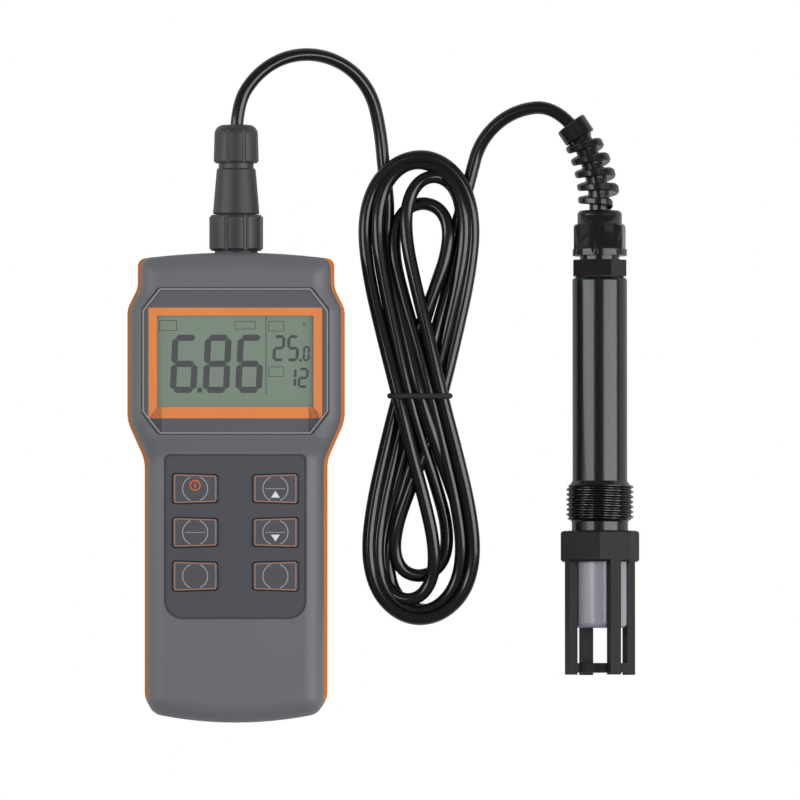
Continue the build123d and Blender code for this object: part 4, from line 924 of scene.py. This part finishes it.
def sleeve_line():
    """The sleeve's outline, up its outside, round its end ring and down its bore."""
    end = DOME_END + BEND_RADIUS * BEND
    ring_start = end - END_RING
    outer_rows = int((ring_start - DOME_END) / SLEEVE_STEP) + 1
    inner_rows = int((end - DOME_END) / SLEEVE_STEP)
    line = [(DOME_END - SLEEVE_SUNK, SLEEVE_BORE), (DOME_END - SLEEVE_SUNK, SLEEVE)]
    line += [(DOME_END + index * SLEEVE_STEP, SLEEVE) for index in range(outer_rows)]
    line += [(ring_start, SLEEVE), (ring_start, END_RING_RADIUS - RING_LOW_BEVEL),
             (ring_start + RING_LOW_BEVEL, END_RING_RADIUS), (end - RING_HIGH_BEVEL, END_RING_RADIUS),
             (end, END_RING_RADIUS - RING_HIGH_BEVEL), (end, SLEEVE_BORE)]
    line += [(DOME_END + index * SLEEVE_STEP, SLEEVE_BORE) for index in range(inner_rows, 0, -1)]
    return line


def build_dome(made):
    """The CAD's gland nut up to the dome's end, closed where it is cut."""
    made.from_mesh(nodes["gland_nut"].data)
    geometry = made.verts[:] + made.edges[:] + made.faces[:]
    cut = bmesh.ops.bisect_plane(made, geom=geometry, plane_co=DOME_PLACE - PROBE_WAY * CUT_BELOW_DOME,
                                 plane_no=PROBE_WAY, clear_outer=True)
    rim = [part for part in cut["geom_cut"] if isinstance(part, bmesh.types.BMEdge)]
    bmesh.ops.holes_fill(made, edges=rim)


def build_spiral(made):
    build_dome(made)
    skin(made, [even_row(distance, radius) for distance, radius in sleeve_line()], SLEEVE_SIDES)
    sections = [[made.verts.new(place) for place in rib_section(2 * pi * step / RIB_STEPS)]
                for step in range(RIB_TURNS * RIB_STEPS + 1)]
    corners = len(sections[0])
    for first, second in zip(sections, sections[1:]):
        for index in range(corners):
            after = (index + 1) % corners
            made.faces.new((first[index], first[after], second[after], second[index]))
    made.faces.new(sections[0])
    made.faces.new(reversed(sections[-1]))


protector = new_piece("gland_nut_spiral", mesh_of("gland_nut_spiral", build_spiral), probe_gloss)
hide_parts("gland_nut")
print("spiral faces", len(protector.data.polygons))

# %% [markdown]
# ## The floor
# The floor is plain and pale, so that it throws soft light back at the object. The photograph's
# background is pure white, so camera rays alone see a plain white in place of the paper.

# %% Floor
FLOOR_HALF = 3
FLOOR_DROP = 0.0002
PAPER_SCALE = 3.0
PAPER_DARK, PAPER_LIGHT = srgb(244, 244, 243), srgb(249, 249, 249)


def white_to_camera(tree, lit, white, output):
    """Shows camera rays a plain white, and every other ray the lit shader."""
    seen = add_node(tree, "ShaderNodeLightPath", output="Is Camera Ray")
    sockets = {0: seen, 1: Wire(tree, lit.outputs[0]), 2: white}
    blend = add_node(tree, "ShaderNodeMixShader", sockets)
    feed(tree, tree.nodes[output].inputs["Surface"], blend)


floor_data = bpy.data.meshes.new("floor")
floor_corners = [(-FLOOR_HALF, -FLOOR_HALF, 0), (FLOOR_HALF, -FLOOR_HALF, 0),
                 (FLOOR_HALF, FLOOR_HALF, 0), (-FLOOR_HALF, FLOOR_HALF, 0)]
floor_data.from_pydata(floor_corners, [], [(0, 1, 2, 3)])
floor = bpy.data.objects.new("floor", floor_data)
floor.location.z = -FLOOR_DROP
bpy.context.scene.collection.objects.link(floor)
paper = Finish("paper", Roughness=0.9)
paper.set("Base Color", paper.mix(paper.noise(PAPER_SCALE), PAPER_DARK, PAPER_LIGHT))
plain_white = add_node(paper.tree, "ShaderNodeEmission")
white_to_camera(paper.tree, paper.shader, plain_white, "Material Output")
floor_data.materials.append(paper.material)
print("floor width in metres", 2 * FLOOR_HALF)

# %% [markdown]
# ## The lamps and the world
# Soft boxes stand to the right and left of the table, as the long bright strips on the cable and
# the probe show. A faint, slightly cool world fills the shadows, and camera rays see it white.

# %% Lamps
AIM = Vector((0.06, 0.03, 0.0))
SOFT_BOXES = {
    "right_box": {"place": (1.05, 0.03, 0.95), "size": (0.5, 1.5), "watts": 13.0},
    "left_box": {"place": (-1.05, 0.2, 0.9), "size": (0.3, 1.5), "watts": 8.0},
}
FILL_COLOUR = (0.93, 0.95, 1.0, 1.0)
FILL_STRENGTH = 0.25
WHITE = (1.0, 1.0, 1.0, 1.0)


def soft_box(name, place, size, watts):
    data = bpy.data.lights.new(name, "AREA")
    data.shape = "RECTANGLE"
    data.size, data.size_y = size
    data.energy = watts
    lamp = bpy.data.objects.new(name, data)
    lamp.location = place
    lamp.rotation_euler = (AIM - Vector(place)).to_track_quat("-Z", "Y").to_euler()
    bpy.context.scene.collection.objects.link(lamp)


for name, values in SOFT_BOXES.items():
    soft_box(name, **values)

world = bpy.data.worlds.new("studio")
bpy.context.scene.world = world
world.use_nodes = True
sky = world.node_tree.nodes["Background"]
sky.inputs["Color"].default_value = FILL_COLOUR
sky.inputs["Strength"].default_value = FILL_STRENGTH
white_sky = add_node(world.node_tree, "ShaderNodeBackground", {"Color": WHITE})
white_to_camera(world.node_tree, sky, white_sky, "World Output")
print("lamps", len(SOFT_BOXES))
